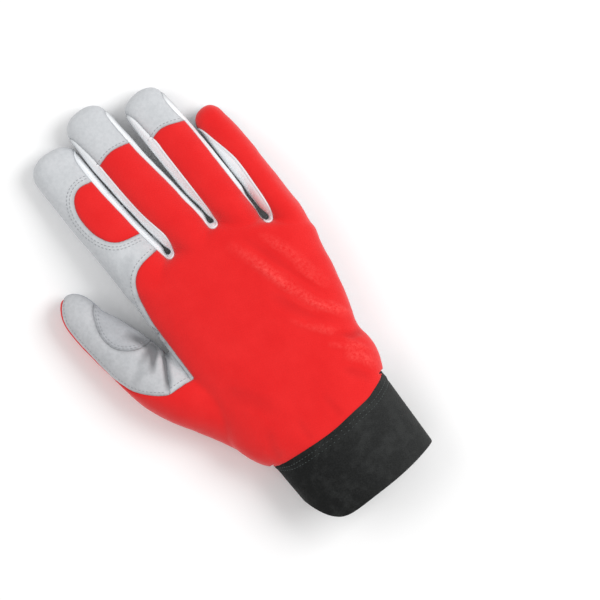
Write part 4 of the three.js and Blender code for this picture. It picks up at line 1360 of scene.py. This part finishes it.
def cord_mesh(path: Sequence[Vector], radius: float, sides: int = 8) -> BMesh:
    """A round cord along a path, closed at both ends.

    Args:
        path: The points of its middle line.
        radius: The cord's radius.
        sides: How many sides it has.

    Returns:
        The cord.
    """
    rings: list[list[Vector]] = []
    across = Vector((0, 0, 1))
    for i, point in enumerate(path):
        way = (path[min(i + 1, len(path) - 1)] - path[max(i - 1, 0)]).normalized()
        across = (across - way * across.dot(way)).normalized()
        beside = way.cross(across)
        taper = 0.55 if i in (0, len(path) - 1) else 1.0
        rings.append([point + (across * math.cos(a) + beside * math.sin(a)) * radius * taper
                      for a in turns(sides)])
    return tube(rings, capped=True)


@dataclass(frozen=True)
class Piping:
    """The white turned edge along both sides of every slot between the fingers."""

    radius: float = 0.62
    proud: float = 0.3
    step: float = 1.3

    def build(self, skin: BMesh, numbers: dict[Panel, int], layer: bmesh.types.BMLayerItem) -> BMesh:
        """Lay the piping on the seams between the side walls and what lies over them."""
        walls = {numbers[Panel(slot)] for slot in SLOTS}
        upper = {numbers[p] for p in (Panel.BACK, Panel.INDEX, Panel.INDEX_INSERT)}
        edges = [e for e in skin.edges if len(e.link_faces) == 2
                 and {f[layer] for f in e.link_faces} & walls and {f[layer] for f in e.link_faces} & upper]
        whole = bmesh.new()
        scratch = bpy.data.meshes.new("piping")
        for run in chains(edges):
            if len(run) < 8:
                continue
            path = self.eased([v.co + v.normal * self.proud for v in run])
            cord = cord_mesh(path, self.radius)
            cord.to_mesh(scratch)
            whole.from_mesh(scratch)
            cord.free()
        bpy.data.meshes.remove(scratch)
        return whole

    def eased(self, path: list[Vector]) -> list[Vector]:
        """The path in even steps and without its small corners."""
        marks = np.array(path)
        for _ in range(6):
            marks[1:-1] = 0.25 * marks[:-2] + 0.5 * marks[1:-1] + 0.25 * marks[2:]
        reach = np.concatenate([[0.0], np.cumsum(np.linalg.norm(np.diff(marks, axis=0), axis=1))])
        at = np.linspace(0.0, reach[-1], max(int(reach[-1] / self.step), 2) + 1)
        return [Vector(p) for p in np.stack([np.interp(at, reach, marks[:, c]) for c in range(3)], axis=1)]


@dataclass(frozen=True)
class StitchRow:
    """A row of thread stitches along a path of the plan, on the back of the glove."""

    path: Line
    pitch: float = 2.1
    length: float = 1.45
    width: float = 0.38

    lift: float = 0.08
    flattest: float = 0.2

    def sew(self, target: BMesh, surface: BVHTree) -> int:
        """Add the row's stitches where the surface lies under its path.

        Args:
            target: The mesh that takes the stitches.
            surface: The surface that they lie on.

        Returns:
            How many stitches were made.
        """
        marks = even_path(self.path, self.pitch)
        count = 0
        for here, onward in zip(marks, marks[1:]):
            middle = ((here[0] + onward[0]) / 2, (here[1] + onward[1]) / 2)
            place, normal, _, _ = surface.ray_cast(Vector((*middle, CLEAR)), Vector((0, 0, -1)))
            if place is None or normal.z < self.flattest:
                continue
            way = Vector((onward[0] - here[0], onward[1] - here[1], 0.0))
            way = (way - normal * way.dot(normal)).normalized()
            add_stitch(target, place + normal * self.lift, way, normal, self.length, self.width)
            count += 1
        return count


def add_stitch(target: BMesh, place: Vector, way: Vector, normal: Vector, length: float,
               width: float) -> None:
    """Add one stitch, a small bead of thread.

    Args:
        target: The mesh that takes it.
        place: Its middle.
        way: The direction it runs in.
        normal: The surface's normal there.
        length: Its length.
        width: Its width.
    """
    turn = Matrix((way, normal.cross(way), normal)).transposed().to_4x4()
    size = Matrix.Diagonal((length / 2, width / 2, width / 2.4, 1.0))
    matrix = Matrix.Translation(place) @ turn @ size @ Matrix.Rotation(math.pi / 2, 4, "Y")
    bmesh.ops.create_uvsphere(target, u_segments=6, v_segments=4, radius=1.0, matrix=matrix)


@dataclass(frozen=True)
class TopStitching:
    """The rows of stitches on the back: on the index leather, both half-moons, the caps and the thumb."""

    beside: float = 2.4
    second: float = 1.6
    cap: float = 1.5
    thumb_arc: tuple[float, float] = (1.0, 2.2)
    thumb_border: float = 2.0
    thumb_foot: Line = ((-45.6, 106.6), (-50.0, 107.6), (-58.0, 108.2))

    def rows(self) -> list[StitchRow]:
        """Every row on the leather, in plan."""
        arc, thumb_arc = smooth_path(INDEX_INSERT_ARC[1:-1]), smooth_path(THUMB_INSERT_ARC[1:-1])
        paths = [
            offset_path(smooth_path(INDEX_BORDER)[14:], self.beside),
            offset_path(arc, -self.beside), offset_path(arc, -self.beside - self.second),
            *(offset_path(thumb_arc, away) for away in self.thumb_arc),
            self.thumb_foot, offset_path(smooth_path(THUMB_BORDER)[6:], -self.thumb_border),
        ]
        paths += [offset_path(smooth_path(seam[1:-1]), self.cap) for seam in CAP_SEAMS.values()]
        return [StitchRow(tuple(path)) for path in paths]

    def build(self, surface: BVHTree) -> BMesh:
        """Sew every row onto the surface."""
        threads = bmesh.new()
        for row in self.rows():
            log.info("stitch row: %d", row.sew(threads, surface))
        return threads


@dataclass(frozen=True)
class Cuff:
    """The knitted cuff: a tube with a curved hem, a welt at the wrist seam and a row of stitches under it."""

    wall: float = 2.2
    taper: float = 0.02
    length: float = 43.0
    sides: int = 128
    rows: int = 44
    hem_low: float = -4.0
    hem_rise: tuple[float, float] = (22.0, 3.4)
    hem_power: tuple[float, float] = (7.5, 2.3)
    half_widths: tuple[float, float] = (40.0, 36.5)
    tucked: float = 2.0
    stitch_rows: tuple[float, float] = (0.835, 0.893)
    stitch_count: int = 96
    stitch_size: tuple[float, float] = (1.2, 0.38)
    stitch_lift: float = 0.1
    middle: tuple[float, float] = (-1.5, 21.8)

    def section(self, y: float) -> Section:
        """The cuff's section, which narrows a little to the hem."""
        wide = self.taper * WRIST_WIDTH * ((y - (WRIST_Y - self.length)) / self.length - 1)
        return Section(y=y, left=-THUMB_SIDE_SHARE * WRIST_WIDTH - wide,
                       right=(1 - THUMB_SIDE_SHARE) * WRIST_WIDTH + wide,
                       top=STRAP_STACK + WRIST_HEIGHT, bottom=STRAP_STACK, floor=STRAP_STACK, round=2.3)

    def hem_at(self, x: float, z: float) -> float:
        """Where the hem lies: it climbs in a round corner on the thumb's side, and less sharply below."""
        side = 0 if x < 0 else 1
        share = min(abs(x) / self.half_widths[side], 1.0)
        power = float(np.interp(z, (10.0, 28.0), (min(self.hem_power[side], 3.0), self.hem_power[side])))
        return self.hem_low + self.hem_rise[side] * share ** power

    def relief(self, share: float) -> float:
        """How far the cloth stands in or out at a share of the way from the hem to the seam."""
        hem = -0.7 * max(0.0, 1 - share / 0.02) ** 2
        seam = -2.4 * max(0.0, (share - 0.95) / 0.05) ** 1.4
        welt = 0.3 * math.exp(-((share - 0.87) / 0.022) ** 2)
        stitched = -0.25 * math.exp(-((share - self.stitch_rows[0]) / 0.01) ** 2)
        return hem + seam + welt + stitched

    def point(self, angle: float, share: float) -> Vector:
        """A point of the cuff's surface at an angle and a share of the way from the hem to the seam."""
        grown = self.relief(share)
        rough = self.section(WRIST_Y).at(angle)
        hem = self.hem_at(rough.x, rough.z)
        seam = self.tucked + float(height_line(np.array([rough.x]), WRIST_SEAM)[0])
        y = hem + (seam - hem) * share
        place = self.section(y).at(angle, grown)
        ripple = 0.22 * noise.noise(Vector((place.x / 11, y / 14, place.z / 11)))
        place.z += ripple if place.z > 20 else 0.0
        place.y = y
        return place

    def build(self) -> BMesh:
        """The cuff's skin from its hem to its seam."""
        shares = [self.eased(k / self.rows) for k in range(self.rows + 1)]
        rings = [[self.point(angle, share) for angle in turns(self.sides)] for share in shares]
        return tube(rings, capped=False)

    @staticmethod
    def eased(share: float) -> float:
        """Shares that stand closer together at the hem and at the seam."""
        return share - 0.36 * math.sin(2 * math.pi * share) / (2 * math.pi)

    def stitches(self) -> BMesh:
        """The stitches under the welt, all round."""
        threads = bmesh.new()
        for row in self.stitch_rows:
            for k in range(self.stitch_count):
                angle = 2 * math.pi * (k + 0.5) / self.stitch_count
                here, onward = self.point(angle, row), self.point(angle + 0.02, row)
                nearer_hem = self.point(angle, row - 0.02)
                way = (onward - here).normalized()
                normal = way.cross(nearer_hem - here).normalized()
                if normal.dot(here - Vector((self.middle[0], here.y, self.middle[1]))) < 0:
                    normal.negate()
                add_stitch(threads, here + normal * self.stitch_lift, way, normal, *self.stitch_size)
        return threads


@dataclass(frozen=True)
class WristStrap:
    """The closing tab under the wrist: a panel in a raised, rounded binding, sewn down at its root."""

    reach: float = 58.0
    margin: float = 2.5
    end_radius: float = 18.0
    binding: float = 5.0
    gap: float = 0.3
    depth: float = 3.0
    panel_depth: float = 2.1
    root_height: float = 11.4
    clearance: float = 0.35
    step: float = 0.5
    wall: float = 1.2
    sewn_back: tuple[float, float] = (2.2, 5.4)
    sewn_pitch: float = 2.8
    sewn_size: tuple[float, float] = (2.0, 0.5)
    roll: tuple[Point, ...] = ((0.0, 0.2), (0.02, 0.6), (0.14, 0.9), (0.34, 1.0), (0.6, 1.0), (0.82, 0.86),
                               (0.97, 0.5), (1.0, 0.1))
    cuff: Cuff = Cuff()

    @cached_property
    def girth(self) -> tuple[np.ndarray, np.ndarray]:
        """Measure the cuff's outline from the tab's free end to its root.

        Returns:
            The lengths along the outline, and the angles where they are.
        """
        section = self.cuff.section(WRIST_Y)
        angles = np.linspace(-math.pi, 0.2, 900)
        places = np.array([section.at(float(a)) for a in angles])
        end = (1 - THUMB_SIDE_SHARE) * WRIST_WIDTH - self.reach
        first = int(np.argmax(places[:, 0] > end))
        last = int(np.argmax((places[:, 2] > self.root_height) & (places[:, 0] > 0)))
        kept = places[first:last]
        lengths = np.concatenate([[0.0], np.cumsum(np.linalg.norm(np.diff(kept, axis=0), axis=1))])
        return lengths, angles[first:last]

    @property
    def length(self) -> float:
        """The tab's length along the cuff's outline."""
        return float(self.girth[0][-1])

    def place(self, along: float, y: float, out: float) -> Vector:
        """A point at a length along the tab, a place along the cuff and a distance out from it."""
        angle = float(np.interp(along, *self.girth))
        section = self.cuff.section(y)
        tangent = (section.at(angle + 0.01) - section.at(angle - 0.01)).normalized()
        return section.at(angle) + Vector((tangent.z, 0.0, -tangent.x)) * out

    def outline(self, inset: float) -> list[Point]:
        """The tab's edge from its root round its free end and back, in lengths along the tab and y."""
        low = WRIST_Y - self.cuff.length + self.margin + inset
        high = WRIST_Y - self.margin - inset
        radius = min(self.end_radius - inset, (high - low) / 2)
        path: list[Point] = [(s, high) for s in np.linspace(self.length, inset + radius, 22)]
        for centre, start in ((high - radius, 90), (low + radius, 180)):
            for k in range(1, 13):
                turn = math.radians(start + 90 * k / 12)
                path.append((inset + radius + radius * math.cos(turn), centre + radius * math.sin(turn)))
        path += [(s, low) for s in np.linspace(inset + radius, self.length, 22)[1:]]
        return path

    def build_binding(self) -> BMesh:
        """The raised binding round the tab, open at the root."""
        profile = [(share, self.gap + self.depth * rise) for share, rise in self.roll]
        profile += [(share, self.gap * 0.2) for share in (0.97, 0.66, 0.33, 0.03)]
        inner = np.array(even_path(self.outline(self.binding), self.step))
        rings: list[list[Vector]] = []
        for s, y in self.outline(0.0):
            nearest = inner[int(np.argmin(np.hypot(inner[:, 0] - s, inner[:, 1] - y)))]
            if s >= self.length - 1e-6:
                inwards = math.copysign(self.binding, WRIST_Y - self.cuff.length / 2 - y)
                nearest = np.array([self.length, y + inwards])
            rings.append([self.place(s + (nearest[0] - s) * share, y + (nearest[1] - y) * share, out)
                          for share, out in profile])
        return tube(rings, capped=True)

    def build_panel(self) -> BMesh:
        """The tab's flat panel, a little lower than its binding, with rounded edges."""
        bm = bmesh.new()
        length, start = self.length, self.binding + self.clearance
        low = WRIST_Y - self.cuff.length + self.margin + self.binding + self.clearance
        high = WRIST_Y - self.margin - self.binding - self.clearance
        bmesh.ops.create_grid(bm, x_segments=54, y_segments=34, size=0.5)
        radius = self.end_radius - self.binding
        for vert in bm.verts:
            u, v = vert.co.x + 0.5, vert.co.y + 0.5
            y = low + (high - low) * v
            from_edge = min(y - low, high - y)
            round_in = radius - math.sqrt(max(radius ** 2 - max(radius - from_edge, 0.0) ** 2, 0.0))
            s = start + round_in + (length - start - round_in) * u
            from_end = s - start - round_in
            edge = min(from_edge, from_end, length - s + 2.0)
            rise = self.gap + self.panel_depth * min(1.0, math.sqrt(max(edge, 0.0) / 1.1 + 0.02))
            crown = 0.35 * math.sin(math.pi * v) * min(1.0, from_end / 6)
            vert.co = self.place(s, y, rise + crown)
        bmesh.ops.recalc_face_normals(bm, faces=bm.faces[:])
        middle = min(bm.faces, key=lambda f: f.calc_center_median().z)
        if middle.normal.z > 0:
            bmesh.ops.reverse_faces(bm, faces=bm.faces[:])
        return bm

    def stitches(self) -> BMesh:
        """Two rows across the root, where the tab is sewn to the cuff."""
        threads = bmesh.new()
        out = self.gap + self.panel_depth + 0.35
        for back in self.sewn_back:
            for y in np.arange(WRIST_Y - self.cuff.length + 9.0, WRIST_Y - 8.5, self.sewn_pitch):
                here = self.place(self.length - back, float(y), out)
                outward = self.place(self.length - back, float(y), out + 1.0) - here
                add_stitch(threads, here, Vector((0, 1, 0)), outward.normalized(), *self.sewn_size)
        return threads


@dataclass(frozen=True)
class Studio:
    """The pale floor, the soft light and the camera straight over the glove."""

    view_centre: Point = (25.8, 102.5)
    view_width: float = 321.9
    focus_height: float = 14.0
    distance: float = 2200.0
    sensor: float = 36.0
    lie: tuple[tuple[float, float, float], ...] = ((0.787, -0.617, 0), (0.617, 0.787, 0))

    @staticmethod
    def floor() -> None:
        """Lay the floor, which glows faintly: painted light that softens the shadows on it."""
        bm = bmesh.new()
        bmesh.ops.create_grid(bm, x_segments=1, y_segments=1, size=1.6)
        bmesh.ops.translate(bm, verts=bm.verts[:], vec=(0, 0, -0.0002))
        mesh = bpy.data.meshes.new("studio_floor")
        bm.to_mesh(mesh)
        bm.free()
        material, _, main = shader("studio_floor_white")
        main.inputs["Base Color"].default_value = (0.93, 0.93, 0.93, 1.0)
        main.inputs["Roughness"].default_value = 0.9
        # Painted light: the floor glows faintly to soften its shadows.
        main.inputs["Emission Color"].default_value = (1.0, 1.0, 1.0, 1.0)
        main.inputs["Emission Strength"].default_value = 0.03
        mesh.materials.append(material)
        put("studio_floor", mesh)

    @staticmethod
    def lights() -> None:
        """Hang two wide soft lights and an even sky."""
        world = bpy.data.worlds.new("studio_sky")
        world.use_nodes = True
        sky = world.node_tree.nodes["Background"].inputs
        sky["Color"].default_value = (1.0, 1.0, 1.0, 1.0)
        sky["Strength"].default_value = 0.6
        bpy.context.scene.world = world
        lamps = (("key", (0.95, -0.25, 1.15), 0.8, 13.0), ("fill", (-0.7, 0.8, 1.3), 1.0, 6.0))
        for name, place, size, power in lamps:
            light = bpy.data.lights.new(name, "AREA")
            light.size = size
            light.energy = power
            lamp = put(name, light)
            lamp.location = place
            lamp.rotation_euler = (-Vector(place)).to_track_quat("-Z", "Y").to_euler()

    def camera(self) -> None:
        """The camera over the glove, turned so that the fingers point up and to the left."""
        lens = bpy.data.cameras.new("photo_camera")
        lens.sensor_width = self.sensor
        lens.lens = self.sensor * (self.distance - self.focus_height) / self.view_width
        lens.clip_end = 10.0
        turn = Matrix((*self.lie, (0, 0, 1))).transposed().to_4x4()
        place = TO_FRAME @ Vector((*self.view_centre, self.distance))
        camera = put("photo_camera", lens)
        camera.matrix_world = Matrix.Translation(place) @ turn
        bpy.context.scene.camera = camera

    def build(self) -> None:
        """Set the whole studio up."""
        self.floor()
        self.lights()
        self.camera()
        bpy.context.scene.view_settings.view_transform = "Standard"


def main() -> None:
    """Build the glove's pieces over the frame, in order."""
    logging.basicConfig(level=logging.INFO, format="%(name)s: %(message)s")
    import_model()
    finishes = make_finishes()

    panels = GlovePanels(HandForm())
    skin, numbers, layer = panels.build()
    surface = BVHTree.FromBMesh(skin)
    piping = Piping().build(skin, numbers, layer)
    panels.dress(skin, numbers, finishes)
    skin.free()
    finished("finger_slot_piping", piping, finishes["white_piping"], [])
    stitching = TopStitching().build(surface)
    finished("top_stitching", stitching, finishes["grey_thread"], [])

    cuff = Cuff()
    knit = finished("cuff_knit", cuff.build(), finishes["charcoal_cuff_cloth"], ["cuff"])
    walled(knit, cuff.wall)
    finished("cuff_stitching", cuff.stitches(), finishes["cuff_thread"], [])
    strap = WristStrap()
    finished("strap_binding_roll", strap.build_binding(), finishes["black_strap_edge"],
             ["strap_binding"])
    tab = finished("strap_panel_cloth", strap.build_panel(), finishes["black_strap_cloth"],
                   ["strap_panel"])
    walled(tab, strap.wall)
    finished("strap_stitching", strap.stitches(), finishes["black_thread"], [])

    Studio().build()
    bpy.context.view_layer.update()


if __name__ == "__main__":
    main()
